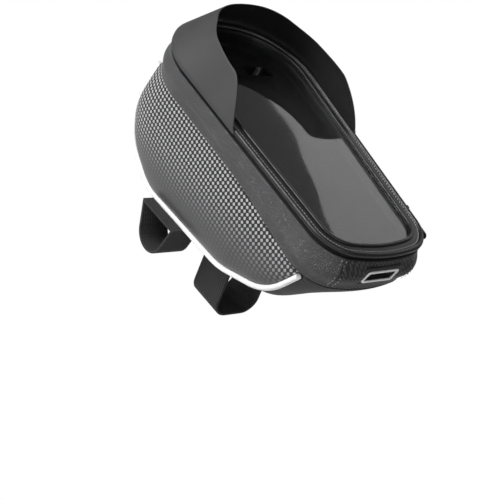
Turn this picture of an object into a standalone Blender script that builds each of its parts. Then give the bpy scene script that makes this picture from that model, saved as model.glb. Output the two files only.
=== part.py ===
"""Phone bag for a bicycle handlebar, built as its separate pieces.

The bag lies upright: +X is the bike's right, +Y points forward and +Z out of the lid.
The origin is the axis of the handlebar at the bag's middle plane. All sizes are in metres.
The shapes are worked out in the lid's own frame, whose origin is the middle of the zip groove,
and the empty bag_frame carries them to their place.
"""
import math

import bmesh
import bpy
import numpy as np
from mathutils import Vector

# Lid outline, a tapered shape with bowed ends: its ends, its half widths there and its corner radii.
LID_REAR = 0.1140
LID_FRONT = 0.1165
REAR_END_BOW = 0.0095
FRONT_END_BOW = 0.0100
REAR_HALF_WIDTH = 0.0452
FRONT_HALF_WIDTH = 0.0600
REAR_CORNER_RADIUS = 0.027
FRONT_CORNER_RADIUS = 0.052
REAR_BOW_RADIUS = 0.116
FRONT_BOW_RADIUS = 0.075

# Walls and fits.
GAP = 0.0003
BAND_WALL = 0.0025
BAND_HEIGHT = 0.0190
BAND_REAR_EXTRA = 0.0070
BAND_DROP_START = -0.0100
BAND_DROP_LENGTH = 0.0850
SHELL_WALL = 0.0024
GUSSET_WALL = 0.0022
HALF_GROOVE = 0.0014
END_PANEL_ARC = 0.0315

# Side profile of the body, on the plane of the piping.
PIPING_HALF_SPAN = 0.0436
PIPING_RADIUS = 0.0018
FRONT_FOOT = (0.1015, -0.0600)
FRONT_HEEL = (0.0875, -0.0837)
BELLY = (0.0540, -0.0957)
UNDERSIDE_SLOPE = math.radians(10.0)
UNDERSIDE_LENGTH = 0.0920
REAR_TURN = (-0.0800, -0.0575)
FOOT_RADIUS = 0.038
HEEL_RADIUS = 0.036
BELLY_RADIUS = 0.040
TAIL_RADIUS = 0.060
REAR_TURN_RADIUS = 0.050
SHELL_BULGE = 0.0110
SHELL_FULL_HEIGHT = 0.055
SHELL_TOP_START = PIPING_HALF_SPAN + 2 * GAP
PIPING_CLEAR = PIPING_RADIUS + 1.5 * GAP
PIPING_START = 0.0055
SHELL_END_CLEAR = 0.0020
SHELL_LEVEL_HEIGHT = 0.025
FRONT_CROWN = 0.0035
REAR_CROWN = 0.0075
END_BOW_REACH = 0.034
LEVEL_EDGE_REACH = 0.012

# Zip.
TAPE_INSET = BAND_WALL + GAP
TAPE_THICKNESS = 0.0010
TAPE_DEPTH = 0.0090
CHAIN_INSET = 0.0016
CHAIN_HALF_GAP = 0.0002

# Lid.
RIM_HEIGHT = 0.0044
RIM_BEAD = 0.0032
RIM_WALL = 0.0025
RIM_FLANGE = 0.0104
FLANGE_TOP = 0.0033
FLANGE_THICKNESS = 0.0013
BINDING_INSET = 0.0076
BINDING_WIDTH = 0.0026
BINDING_HEIGHT = 0.0010
FILM_INSET = 0.0080
FILM_THICKNESS = 0.0006
FILM_DOME = 0.0012
POCKET_DEPTH = 0.0096
POCKET_WALL = 0.0012
POCKET_INSET = 0.0084
POCKET_SLOT_SIZE = (0.0720, 0.0100)
POCKET_SLOT_Y = 0.0780
POCKET_TAB_SIZE = (0.0260, 0.0300)
POCKET_TAB_THICKNESS = 0.0014

# Visor.
VISOR_END_Y = 0.0
VISOR_THICKNESS = 0.0008
VISOR_FIT = 0.0008
VISOR_UPRIGHT = 0.0022
VISOR_SIDE_HEIGHT = 0.0256
VISOR_FRONT_HEIGHT = 0.0322
VISOR_RISE_LENGTH = 0.030
VISOR_RISE_POWER = 1.6
VISOR_SLOPE_LENGTH = 0.150
VISOR_LOWEST = 0.0020
VISOR_SIDE_LEAN = 0.0076
VISOR_CORNER_LEAN = 0.0198
VISOR_CORNER_SHARE = 0.62
VISOR_FRONT_LEAN = 0.0219

# Cable port on the rider's end.
PORT_ARC = 0.0014
PORT_Z = -0.0127
PORT_SIZE = (0.0330, 0.0145)
PORT_SKEW = 0.0046
PORT_SURROUND_THICKNESS = 0.0016
PORT_FRAME_SIZE = (0.0270, 0.0094)
PORT_FRAME_WIDTH = 0.0015
PORT_FRAME_THICKNESS = 0.0008
PORT_FLAP_THICKNESS = 0.0016
PORT_SLIT_SIZE = (0.0190, 0.0046)
PORT_CORNER = 0.0022
PORT_SLICES = 8

# Zip slider and its puller.
SLIDER_Y = -0.0680
SLIDER_SIZE = (0.0110, 0.0068)
SLIDER_MIDDLE_Z = -0.0020
SLIDER_THICKNESS = 0.0012
SLIDER_NECK = (0.0060, 0.0018)
LUG_LENGTH = 0.0026
LUG_THICKNESS = 0.0010
LUG_SPAN = 0.0044
PIN_RADIUS = 0.0006
EYE_CLEARANCE = 0.0003
EYE_WALL = 0.0006
PULLER_SIZE = (0.0250, 0.0048)
PULLER_THICKNESS = 0.0010

# Base pad and straps, for the bar and the stem that the bag is strapped to.
BAR_RADIUS = 0.0127
BAR_ARC = 0.0300
PAD_SIZE = (0.0440, 0.0700)
PAD_ARC = 0.0460
PAD_THICKNESS = 0.0035
PAD_CORNER = 0.0080
STRAP_THICKNESS = 0.0020
STRAP_FIT = 0.0002
BAR_STRAP_WIDTH = 0.0240
BAR_STRAP_X = 0.0416
BAR_STRAP_HALF_TOP = 0.0200
STRAP_TOP_RADIUS = 0.0035
STEM_STRAP_WIDTH = 0.0300
STEM_STRAP_ARC = 0.0660
STEM_STRAP_HALF_SPAN = 0.0190
STEM_STRAP_DROP = 0.0560
STEM_STRAP_RADIUS = 0.0120


def clear_scene():
    """Empty the scene of whatever the file held."""
    for item in list(bpy.data.objects):
        bpy.data.objects.remove(item, do_unlink=True)


def smooth_step(share):
    """Ease from 0 to 1."""
    share = min(max(share, 0.0), 1.0)
    return share * share * (3.0 - 2.0 * share)


def rounded_corner(before, corner, after, radius, steps):
    """Points of the arc that rounds one corner of a polygon."""
    into = (corner - before).normalized()
    out = (after - corner).normalized()
    turn = into.angle(out)
    side = 1.0 if into.x * out.y - into.y * out.x > 0 else -1.0
    start = corner - into * radius * math.tan(turn / 2)
    middle = start + Vector((-into.y, into.x)) * radius * side
    first = start - middle
    points = []
    for step in range(steps + 1):
        angle = side * turn * step / steps
        cos = math.cos(angle)
        sin = math.sin(angle)
        points.append(middle + Vector((first.x * cos - first.y * sin, first.x * sin + first.y * cos)))
    return points


def rounded_path(corners, closed, steps):
    """Points of a polygon or an open line whose corners (x, y, radius) are rounded."""
    flat = [Vector((x, y)) for x, y, radius in corners]
    count = len(corners)
    points = []
    for index in range(count):
        radius = corners[index][2]
        if radius == 0.0:
            points.append(flat[index])
        else:
            after = flat[(index + 1) % count]
            points += rounded_corner(flat[index - 1], flat[index], after, radius, steps)
    if closed:
        points.append(points[0])
    return np.array([tuple(point) for point in points])


def rounded_rectangle(length, width, radius, steps=4):
    """Corner points of a rounded rectangle about the origin."""
    half_length = length / 2
    half_width = width / 2
    corners = [
        (half_length, -half_width, radius),
        (half_length, half_width, radius),
        (-half_length, half_width, radius),
        (-half_length, -half_width, radius),
    ]
    return [tuple(point) for point in rounded_path(corners, True, steps)[:-1]]


def skewed_rectangle(length, height, skew, radius):
    """Corner points of a rounded parallelogram about the origin, its top shifted by skew."""
    lean = skew / 2 * height / PORT_SIZE[1]
    corners = [
        (length / 2 - lean, -height / 2, radius),
        (length / 2 + lean, height / 2, radius),
        (-length / 2 + lean, height / 2, radius),
        (-length / 2 - lean, -height / 2, radius),
    ]
    return [tuple(point) for point in rounded_path(corners, True, 3)[:-1]]


class Path:
    """A flat line that gives its points and normals by the length run along it."""

    def __init__(self, points):
        steps = np.hypot(*np.diff(points, axis=0).T)
        self.points = points[np.concatenate(([True], steps > 1e-9))]
        steps = np.hypot(*np.diff(self.points, axis=0).T)
        self.run = np.concatenate(([0.0], np.cumsum(steps)))
        self.length = float(self.run[-1])

    def at(self, run):
        """Point at a run along the line."""
        x = np.interp(run, self.run, self.points[:, 0])
        y = np.interp(run, self.run, self.points[:, 1])
        return Vector((float(x), float(y)))

    def way(self, run, reach=0.0015):
        """Direction of the line at a run along it."""
        low = max(run - reach, 0.0)
        high = min(run + reach, self.length)
        return (self.at(high) - self.at(low)).normalized()


class LidOutline(Path):
    """The closed outline of the lid, from the middle of its rear end round by the right side."""

    def __init__(self):
        half = [
            (REAR_HALF_WIDTH, REAR_END_BOW - LID_REAR, REAR_CORNER_RADIUS),
            (FRONT_HALF_WIDTH, LID_FRONT - FRONT_END_BOW, FRONT_CORNER_RADIUS),
        ]
        corners = [(0.0, -LID_REAR, REAR_BOW_RADIUS)] + half + [(0.0, LID_FRONT, FRONT_BOW_RADIUS)]
        corners += [(-x, y, radius) for x, y, radius in reversed(half)]
        steps = 48
        points = rounded_path(corners, True, steps)
        middle = steps // 2
        super().__init__(np.concatenate((points[middle:-1], points[:middle + 1])))

    def offset(self, run, inset):
        """Point that lies inside the outline by inset, beside a run along it."""
        low = self.at((run - 0.0015) % self.length)
        high = self.at((run + 0.0015) % self.length)
        way = (high - low).normalized()
        return self.at(run % self.length) - Vector((way.y, -way.x)) * inset

    def right_half(self):
        """Runs and points of the right half."""
        half = self.run <= self.length / 2
        return self.run[half], self.points[half]

    def run_at_y(self, y):
        """Run along the right side at which the outline has this y."""
        runs, points = self.right_half()
        return float(np.interp(y, points[:, 1], runs))

    def run_at_x(self, x, front):
        """Run in the right half at which one end of the outline is x wide."""
        runs, points = self.right_half()
        widest = int(np.argmax(points[:, 0]))
        if front:
            return float(np.interp(-x, -points[widest:, 0], runs[widest:]))
        return float(np.interp(x, points[:widest, 0], runs[:widest]))

    def end_y(self, x, front):
        """How far one end of the outline reaches at x."""
        return self.at(self.run_at_x(abs(x), front)).y


def band_depth(y):
    """How far the band reaches below the groove: it grows toward the rider's end."""
    return BAND_HEIGHT + BAND_REAR_EXTRA * smooth_step((BAND_DROP_START - y) / BAND_DROP_LENGTH)


class BodyProfile(Path):
    """Side profile (y, z) of the body on the piping's plane, from the band's front to its rear."""

    def __init__(self, outline):
        front_y = outline.end_y(PIPING_HALF_SPAN, True)
        rear_y = outline.end_y(PIPING_HALF_SPAN, False)
        tail_y = BELLY[0] - UNDERSIDE_LENGTH * math.cos(UNDERSIDE_SLOPE)
        tail_z = BELLY[1] + UNDERSIDE_LENGTH * math.sin(UNDERSIDE_SLOPE)
        corners = [
            (front_y, -band_depth(front_y) - GAP, 0.0),
            (*FRONT_FOOT, FOOT_RADIUS),
            (*FRONT_HEEL, HEEL_RADIUS),
            (*BELLY, BELLY_RADIUS),
            (tail_y, tail_z, TAIL_RADIUS),
            (*REAR_TURN, REAR_TURN_RADIUS),
            (rear_y, -band_depth(rear_y) - GAP, 0.0),
        ]
        super().__init__(rounded_path(corners, False, 8))
        belly_cut = BELLY_RADIUS * math.tan(math.radians(15.0))
        self.flat_start = self.run_near(BELLY[0] - belly_cut)
        tail_cut = TAIL_RADIUS * math.tan(math.radians(10.5))
        self.flat_end = self.run_near(tail_y + tail_cut)

    def run_near(self, y):
        """Run at which the underside has this y."""
        deepest = int(np.argmin(self.points[:, 1]))
        return float(np.interp(-y, -self.points[deepest:, 0], self.run[deepest:]))

    def outward(self, run):
        """Direction away from the body."""
        way = self.way(run)
        return Vector((-way.y, way.x))


class Underside:
    """Frame of the flat underside: a runs forward along it, out points away from the bag."""

    def __init__(self):
        self.origin = Vector((0.0, BELLY[0], BELLY[1]))
        self.forward = Vector((0.0, math.cos(UNDERSIDE_SLOPE), -math.sin(UNDERSIDE_SLOPE)))
        self.out = Vector((0.0, -math.sin(UNDERSIDE_SLOPE), -math.cos(UNDERSIDE_SLOPE)))

    def at(self, x, back, out):
        """Point at x across, back along the underside from the belly and out from its face."""
        return self.origin + Vector((x, 0.0, 0.0)) - self.forward * back + self.out * out

    def bar_axis(self):
        """The bar's axis below the pad, with the strap between them."""
        drop = GAP + PAD_THICKNESS + GAP + BAR_RADIUS
        return self.at(0.0, BAR_ARC, drop)


def make_material(name, color, roughness, metallic=0.0, alpha=1.0):
    """Plain Principled material."""
    made = bpy.data.materials.new(name)
    made.use_nodes = True
    shader = made.node_tree.nodes["Principled BSDF"]
    shader.inputs["Base Color"].default_value = (*color, 1.0)
    shader.inputs["Roughness"].default_value = roughness
    shader.inputs["Metallic"].default_value = metallic
    shader.inputs["Alpha"].default_value = alpha
    return made


def mapped_grid(columns, rows, place):
    """Grid of faces whose corner (column, row) is moved to place(column, row)."""
    bm = bmesh.new()
    bmesh.ops.create_grid(bm, x_segments=columns, y_segments=rows, size=1.0)
    for vert in bm.verts:
        column = round((vert.co.x + 1.0) / 2.0 * columns)
        row = round((vert.co.y + 1.0) / 2.0 * rows)
        vert.co = place(column, row)
    bmesh.ops.remove_doubles(bm, verts=bm.verts, dist=1e-6)
    return bm


def turn_outward(bm):
    """Turn a closed body's faces outward."""
    if bm.calc_volume(signed=True) < 0:
        bmesh.ops.reverse_faces(bm, faces=bm.faces)


def section_sweep(columns, section):
    """Sweep section(column), a closed list of points, and fill both ends if they are open."""
    sections = [section(column) for column in range(columns + 1)]
    count = len(sections[0])
    bm = mapped_grid(columns, count, lambda column, row: sections[column][row % count])
    open_edges = [edge for edge in bm.edges if edge.is_boundary]
    bmesh.ops.holes_fill(bm, edges=open_edges, sides=0)
    turn_outward(bm)
    return bm


def outline_sweep(outline, profile, start, end, columns):
    """Sweep profile(y), a closed list of (inset, z) corners, along a stretch of the outline."""
    def section(column):
        run = start + (end - start) * column / columns
        points = []
        for inset, z in profile(outline.at(run % outline.length).y):
            flat = outline.offset(run, inset)
            points.append(Vector((flat.x, flat.y, z)))
        return points

    return section_sweep(columns, section)


def prism(points, low, high, place, slices=1):
    """Extrude a flat outline between two levels, slice it across and move its corners by place."""
    bm = bmesh.new()
    face = bm.faces.new([bm.verts.new((a, b, low)) for a, b in points])
    made = bmesh.ops.extrude_face_region(bm, geom=[face], use_keep_orig=True)
    top = [item for item in made["geom"] if isinstance(item, bmesh.types.BMVert)]
    bmesh.ops.translate(bm, verts=top, vec=(0.0, 0.0, high - low))
    first = min(a for a, b in points)
    last = max(a for a, b in points)
    for slice_index in range(1, slices):
        cut = (first + (last - first) * slice_index / slices, 0.0, 0.0)
        geom = bm.verts[:] + bm.edges[:] + bm.faces[:]
        bmesh.ops.bisect_plane(bm, geom=geom, dist=1e-7, plane_co=cut, plane_no=(1.0, 0.0, 0.0))
    for vert in bm.verts:
        vert.co = place(*vert.co)
    bmesh.ops.recalc_face_normals(bm, faces=bm.faces)
    turn_outward(bm)
    return bm


def band_of(points, thickness, half_width, place):
    """Closed band: a flat closed line given a thickness inward and a width, placed by place."""
    count = len(points)

    def corner(column, row):
        index = column % count
        before = Vector(points[index - 1])
        here = Vector(points[index])
        after = Vector(points[(index + 1) % count])
        one = (here - before).normalized()
        two = (after - here).normalized()
        inward = Vector((-(one + two).y, (one + two).x)).normalized()
        inward = inward / max(0.5, inward.dot(Vector((-one.y, one.x))))
        inset = thickness if row in (1, 2) else 0.0
        level = half_width if row in (2, 3) else -half_width
        flat = here + inward * inset
        return place(flat.x, flat.y, level)

    bm = mapped_grid(count, 4, lambda column, row: corner(column, row % 4))
    turn_outward(bm)
    return bm


class Builder:
    """Adds meshes to the scene and keeps the frame, materials and outlines they share."""

    def __init__(self):
        self.outline = LidOutline()
        self.profile = BodyProfile(self.outline)
        self.underside = Underside()
        self.frame = self.empty("bag_frame", None, -self.underside.bar_axis())
        hinge_y = self.outline.at(0.0).y
        self.hinge = self.empty("lid_hinge", self.frame, Vector((0.0, hinge_y, 0.0)))
        self.leather = make_material("leather", (0.12, 0.12, 0.125), 0.55)
        self.carbon = make_material("carbon", (0.07, 0.07, 0.075), 0.45)
        self.woven = make_material("woven", (0.035, 0.035, 0.038), 0.7)
        self.reflective = make_material("reflective", (0.85, 0.85, 0.86), 0.4)
        self.zip = make_material("zip", (0.015, 0.015, 0.016), 0.6)
        self.film = make_material("film", (0.75, 0.77, 0.8), 0.08, 0.0, 0.3)
        self.rubber = make_material("rubber", (0.03, 0.03, 0.03), 0.6)
        self.metal = make_material("slider", (0.08, 0.08, 0.085), 0.35, 0.8)
        self.strap = make_material("strap", (0.03, 0.03, 0.032), 0.85)

    def empty(self, name, parent, location):
        """Empty that marks a frame or a joint's axis."""
        item = bpy.data.objects.new(name, None)
        bpy.context.collection.objects.link(item)
        item.parent = parent
        item.location = location
        return item

    def place_of(self, parent):
        """Place of a parent empty in the lid's frame."""
        place = Vector((0.0, 0.0, 0.0))
        while parent is not self.frame:
            place += parent.location
            parent = parent.parent
        return place

    def add(self, name, bm, mat, parent=None):
        """Put a mesh, whose points are in the lid's frame, under its parent empty."""
        parent = parent or self.frame
        bmesh.ops.translate(bm, verts=bm.verts, vec=-self.place_of(parent))
        mesh = bpy.data.meshes.new(name)
        bm.to_mesh(mesh)
        bm.free()
        mesh.materials.append(mat)
        mesh.shade_smooth()
        mesh.set_sharp_from_angle(angle=math.radians(35))
        item = bpy.data.objects.new(name, mesh)
        bpy.context.collection.objects.link(item)
        item.parent = parent
        return item

    def guide(self, name, bm, parent=None):
        """Add a shape that only cuts or joins another."""
        item = self.add(name, bm, self.rubber, parent)
        item.hide_render = True
        item.display_type = "WIRE"
        return item

    def combine(self, item, guide, operation, solver="EXACT"):
        """Cut an object with a guide, or join the guide to it."""
        mod = item.modifiers.new(guide.name, "BOOLEAN")
        mod.operation = operation
        mod.solver = solver
        mod.object = guide


def solidify(item, thickness, offset):
    """Give a sheet its thickness: offset -1 grows against its normals, 1 along them."""
    mod = item.modifiers.new("wall", "SOLIDIFY")
    mod.thickness = thickness
    mod.offset = offset
    mod.use_even_offset = True


def build_band(bag):
    """Upright band round the body's mouth, and the panel at the rider's end."""
    def profile(y):
        low = -band_depth(y)
        return [(0.0, -HALF_GROOVE), (0.0, low), (BAND_WALL, low), (BAND_WALL, -HALF_GROOVE)]

    start = END_PANEL_ARC + GAP / 2
    band = outline_sweep(bag.outline, profile, start, bag.outline.length - start, 92)
    bag.add("upper_band", band, bag.leather)
    reach = END_PANEL_ARC - GAP / 2
    panel = bag.add("end_panel", outline_sweep(bag.outline, profile, -reach, reach, 12), bag.woven)
    hole = skewed_rectangle(*PORT_FRAME_SIZE, PORT_SKEW, PORT_CORNER)
    cutter = prism(hole, -2 * BAND_WALL, BAND_WALL, port_place(bag), PORT_SLICES)
    bag.combine(panel, bag.guide("port_cutter", cutter), "DIFFERENCE")


def shell_surface(bag, columns, rows):
    """Outer face of the right side shell as a grid of points, from the piping up to the band."""
    outline = bag.outline
    profile = bag.profile
    front = outline.run_at_x(SHELL_TOP_START, True)
    rear = outline.run_at_x(SHELL_TOP_START, False)
    points = np.zeros((columns + 1, rows + 1, 3))
    for column in range(columns + 1):
        share = column / columns
        run = PIPING_CLEAR + (profile.length - 2 * PIPING_CLEAR) * share
        low = profile.at(run)
        along = profile.way(run)
        foot = np.array((PIPING_HALF_SPAN, low.x, low.y))
        high = outline.at(front + (rear - front) * share)
        top = np.array((high.x, high.y, -band_depth(high.y) - 2 * GAP))
        height = np.linalg.norm(top - foot)
        toward = (top - foot) / height
        full = min(height / SHELL_FULL_HEIGHT, 1.0)
        away = toward + np.array((0.5, 0.0, 0.0))
        away = away - np.array((0.0, along.x, along.y)) * (away[1] * along.x + away[2] * along.y)
        foot = foot + away / np.linalg.norm(away) * PIPING_CLEAR
        upper = top - toward * height * 0.33 * (1.0 - full)
        upper = upper + np.array((0.0015, 0.0, -0.36 * height)) * full
        lower = foot + toward * height * 0.24 + np.array((SHELL_BULGE * full, 0.0, 0.0))
        for row in range(rows + 1):
            a = row / rows
            b = 1.0 - a
            weights = (b ** 3, 3 * b * b * a, 3 * b * a * a, a ** 3)
            points[column, row] = sum(w * p for w, p in zip(weights, (foot, lower, upper, top)))
    return points


def shell_inside(bag, points):
    """Inner face under a shell's outer face, kept clear of the piping and level along the band."""
    normals = np.cross(np.gradient(points, axis=0), np.gradient(points, axis=1))
    normals[:, -1, 2] = 0.0
    normals /= np.linalg.norm(normals, axis=2, keepdims=True)
    normals *= np.sign(normals[:, :, :1].mean())
    heights = np.linalg.norm(points[:, -1] - points[:, 0], axis=1)
    level = np.clip(1.0 - heights / SHELL_LEVEL_HEIGHT, 0.0, 1.0)[:, None, None]
    normals = normals * (1.0 - level) + normals[:, -1:] * level
    normals /= np.linalg.norm(normals, axis=2, keepdims=True)
    inner = points - normals * SHELL_WALL
    samples = [bag.profile.at(run) for run in np.linspace(0.0, bag.profile.length, 240)]
    line = np.array([(PIPING_HALF_SPAN, point.x, point.y) for point in samples])
    columns, rows = inner.shape[:2]
    for column in range(columns):
        to_end = min(column, columns - 1 - column)
        clear = PIPING_CLEAR + SHELL_END_CLEAR * max(1.0 - to_end / 4.0, 0.0)
        for row in range(rows - 1):
            away = inner[column, row] - line
            reach = np.linalg.norm(away, axis=1)
            nearest = int(np.argmin(reach))
            if reach[nearest] < clear:
                inner[column, row] += away[nearest] / reach[nearest] * (clear - reach[nearest])
    inner[:, :, 0] = np.maximum(inner[:, :, 0], PIPING_HALF_SPAN - PIPING_RADIUS)
    inner[:, :, 2] = np.minimum(inner[:, :, 2], points[:, -1:, 2])
    return inner


def build_side_shells(bag):
    """Moulded side shells between the band and the piping, bulging outward."""
    columns = 36
    outer = shell_surface(bag, columns, 8)
    inner = shell_inside(bag, outer)

    for name, side in (("side_shell_left", -1.0), ("side_shell_right", 1.0)):
        def section(column):
            ring = list(outer[column]) + list(inner[column][::-1])
            return [Vector((side * x, y, z)) for x, y, z in ring]

        bag.add(name, section_sweep(columns, section), bag.carbon)


def gusset_point(bag, across, run, depth):
    """Point of the gusset, across from -1 to 1 over its width and depth inside its outer face."""
    x = (PIPING_HALF_SPAN - PIPING_RADIUS - GAP) * across
    outline = bag.outline
    profile = bag.profile
    base = profile.at(run)
    outward = profile.outward(run)
    to_end = profile.length - run
    bow = outline.end_y(x, True) - outline.end_y(PIPING_HALF_SPAN, True)
    forward = bow * smooth_step(1.0 - run / END_BOW_REACH)
    bow = outline.end_y(PIPING_HALF_SPAN, False) - outline.end_y(x, False)
    forward -= bow * smooth_step(1.0 - to_end / END_BOW_REACH)
    share = min(run / profile.flat_start, to_end / (profile.length - profile.flat_end), 1.0)
    crown = FRONT_CROWN if run < to_end else REAR_CROWN
    crown *= (1.0 - across * across) * math.sin(math.pi * share) ** 2
    level = smooth_step(1.0 - min(run, to_end) / LEVEL_EDGE_REACH)
    ahead = Vector((1.0 if run < to_end else -1.0, 0.0))
    inward = (outward * (1.0 - level) + ahead * level).normalized() * -depth
    flat = base + outward * crown + inward
    return Vector((x, flat.x + forward, flat.y))


def build_gusset(bag):
    """Front and bottom panel between the two pipings, in one strip."""
    columns = 46
    strips = 8
    shares = [strip / strips * 2.0 - 1.0 for strip in range(strips + 1)]

    def section(column):
        run = bag.profile.length * column / columns
        outer = [gusset_point(bag, share, run, 0.0) for share in shares]
        inner = [gusset_point(bag, share, run, GUSSET_WALL) for share in reversed(shares)]
        return outer + inner

    bag.add("spine_gusset", section_sweep(columns, section), bag.woven)


def build_piping(bag):
    """Reflective piping in the seam between each side shell and the gusset."""
    count = 46
    start = PIPING_START
    length = bag.profile.length - 2 * start
    for name, side in (("reflective_piping_left", -1.0), ("reflective_piping_right", 1.0)):
        curve = bpy.data.curves.new(name, "CURVE")
        curve.dimensions = "3D"
        curve.bevel_depth = PIPING_RADIUS
        curve.bevel_resolution = 2
        curve.use_fill_caps = True
        spline = curve.splines.new("POLY")
        spline.points.add(count - 1)
        for index, point in enumerate(spline.points):
            flat = bag.profile.at(start + length * index / (count - 1))
            point.co = (side * PIPING_HALF_SPAN, flat.x, flat.y, 1.0)
        curve.materials.append(bag.reflective)
        item = bpy.data.objects.new(name, curve)
        bpy.context.collection.objects.link(item)
        item.parent = bag.frame


def build_zip(bag):
    """Both halves of the zip, sewn inside the band and the lid's rim, and the hinge strip."""
    inner = TAPE_INSET + TAPE_THICKNESS
    chain_top = HALF_GROOVE - GAP
    tape_top = FLANGE_TOP - FLANGE_THICKNESS - GAP

    def lower(y):
        return [
            (inner, -TAPE_DEPTH), (TAPE_INSET, -TAPE_DEPTH), (TAPE_INSET, -chain_top),
            (CHAIN_INSET, -chain_top), (CHAIN_INSET, -CHAIN_HALF_GAP), (inner, -CHAIN_HALF_GAP),
        ]

    def upper(y):
        return [
            (inner, tape_top), (TAPE_INSET, tape_top), (TAPE_INSET, chain_top),
            (CHAIN_INSET, chain_top), (CHAIN_INSET, CHAIN_HALF_GAP), (inner, CHAIN_HALF_GAP),
        ]

    def hinge(y):
        return [(inner, -TAPE_DEPTH), (TAPE_INSET, -TAPE_DEPTH), (TAPE_INSET, tape_top), (inner, tape_top)]

    start = END_PANEL_ARC + GAP / 2
    end = bag.outline.length - start
    bag.add("zip_tape_lower", outline_sweep(bag.outline, lower, start, end, 88), bag.zip)
    bag.add("zip_tape_upper", outline_sweep(bag.outline, upper, start, end, 88), bag.zip, bag.hinge)
    reach = END_PANEL_ARC - GAP / 2
    bag.add("hinge_strip", outline_sweep(bag.outline, hinge, -reach, reach, 10), bag.woven)


def build_rim(bag):
    """Rim of the lid, and the raised binding round its window."""
    low = HALF_GROOVE
    under = FLANGE_TOP - FLANGE_THICKNESS
    fall = RIM_HEIGHT - FLANGE_TOP

    def rim(y):
        return [
            (0.0, low), (0.0, RIM_HEIGHT - RIM_BEAD * 0.45), (RIM_BEAD * 0.18, RIM_HEIGHT - RIM_BEAD * 0.14),
            (RIM_BEAD * 0.5, RIM_HEIGHT), (RIM_BEAD * 0.8, RIM_HEIGHT - fall * 0.35), (RIM_BEAD, FLANGE_TOP),
            (RIM_FLANGE, FLANGE_TOP), (RIM_FLANGE, under), (RIM_WALL, under), (RIM_WALL, low),
        ]

    base = FLANGE_TOP + GAP
    top = base + BINDING_HEIGHT
    outer = BINDING_INSET
    inner = BINDING_INSET + BINDING_WIDTH

    def binding(y):
        return [
            (outer, base), (outer, top - 0.0004), (outer + 0.0006, top),
            (inner - 0.0006, top), (inner, top - 0.0004), (inner, base),
        ]

    whole = bag.outline.length
    bag.add("lid_rim", outline_sweep(bag.outline, rim, 0.0, whole, 92), bag.leather, bag.hinge)
    bag.add("window_binding", outline_sweep(bag.outline, binding, 0.0, whole, 68), bag.leather, bag.hinge)


def disc(bag, levels, columns):
    """Body inside the outline: levels are (inset, share of the way out, z), out from the middle and back."""
    whole = bag.outline.length

    def place(column, row):
        inset, share, z = levels[row]
        flat = bag.outline.offset(whole * column / columns, inset) * share
        return Vector((flat.x, flat.y, z))

    bm = mapped_grid(columns, len(levels) - 1, place)
    turn_outward(bm)
    return bm


def build_window(bag):
    """Clear film, slightly domed, under the rim's flange."""
    edge_z = FLANGE_TOP - FLANGE_THICKNESS - GAP
    rings = 3
    shares = [ring / rings for ring in range(rings + 1)]
    levels = [(FILM_INSET, share, edge_z + FILM_DOME * (1.0 - share ** 2)) for share in shares]
    levels += [(inset, share, z - FILM_THICKNESS) for inset, share, z in reversed(levels)]
    bag.add("window_film", disc(bag, levels, 56), bag.film, bag.hinge)


def build_pocket(bag):
    """Backing tray behind the window that holds the telephone, its mouth and its closing tab."""
    top = FLANGE_TOP - FLANGE_THICKNESS - 2 * GAP - FILM_THICKNESS
    floor = top - POCKET_DEPTH
    outer = POCKET_INSET - POCKET_WALL
    base = floor - POCKET_WALL
    levels = [(POCKET_INSET, share, floor) for share in (0.0, 0.5, 0.97)]
    levels += [(POCKET_INSET, 1.0, floor + 0.0016), (POCKET_INSET, 1.0, top)]
    levels += [(outer, 1.0, top), (outer, 1.0, base + 0.0016)]
    levels += [(outer, share, base) for share in (0.97, 0.5, 0.0)]
    tray = bag.add("phone_pocket", disc(bag, levels, 64), bag.woven, bag.hinge)

    def flat(a, b, level):
        return Vector((a, b + POCKET_SLOT_Y, level))

    slot = rounded_rectangle(*POCKET_SLOT_SIZE, POCKET_SLOT_SIZE[1] * 0.45)
    cutter = prism(slot, floor - 0.004, floor + 0.004, flat)
    bag.combine(tray, bag.guide("slot_cutter", cutter, bag.hinge), "DIFFERENCE", "MANIFOLD")
    tab_top = floor - POCKET_WALL - GAP
    tab = prism(rounded_rectangle(*POCKET_TAB_SIZE, 0.003), tab_top - POCKET_TAB_THICKNESS, tab_top, flat)
    bag.add("pocket_tab", tab, bag.strap, bag.hinge)


def visor_height(run):
    """Height of the visor's free edge, by the run from its end."""
    left = 1.0 - min(run / VISOR_RISE_LENGTH, 1.0)
    rise = VISOR_SIDE_HEIGHT * (1.0 - left ** VISOR_RISE_POWER)
    rise += (VISOR_FRONT_HEIGHT - VISOR_SIDE_HEIGHT) * smooth_step(run / VISOR_SLOPE_LENGTH)
    return max(rise, VISOR_LOWEST)


def visor_lean(run, half_length):
    """How far the free edge leans in over the lid, by the run from the visor's end."""
    knots = [
        (0.0, 0.0), (VISOR_RISE_LENGTH, VISOR_SIDE_LEAN),
        (half_length * VISOR_CORNER_SHARE, VISOR_CORNER_LEAN), (half_length, VISOR_FRONT_LEAN),
    ]
    for (start, low), (end, high) in zip(knots, knots[1:]):
        if run <= end:
            return low + (high - low) * smooth_step((run - start) / (end - start))
    return VISOR_FRONT_LEAN


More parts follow.
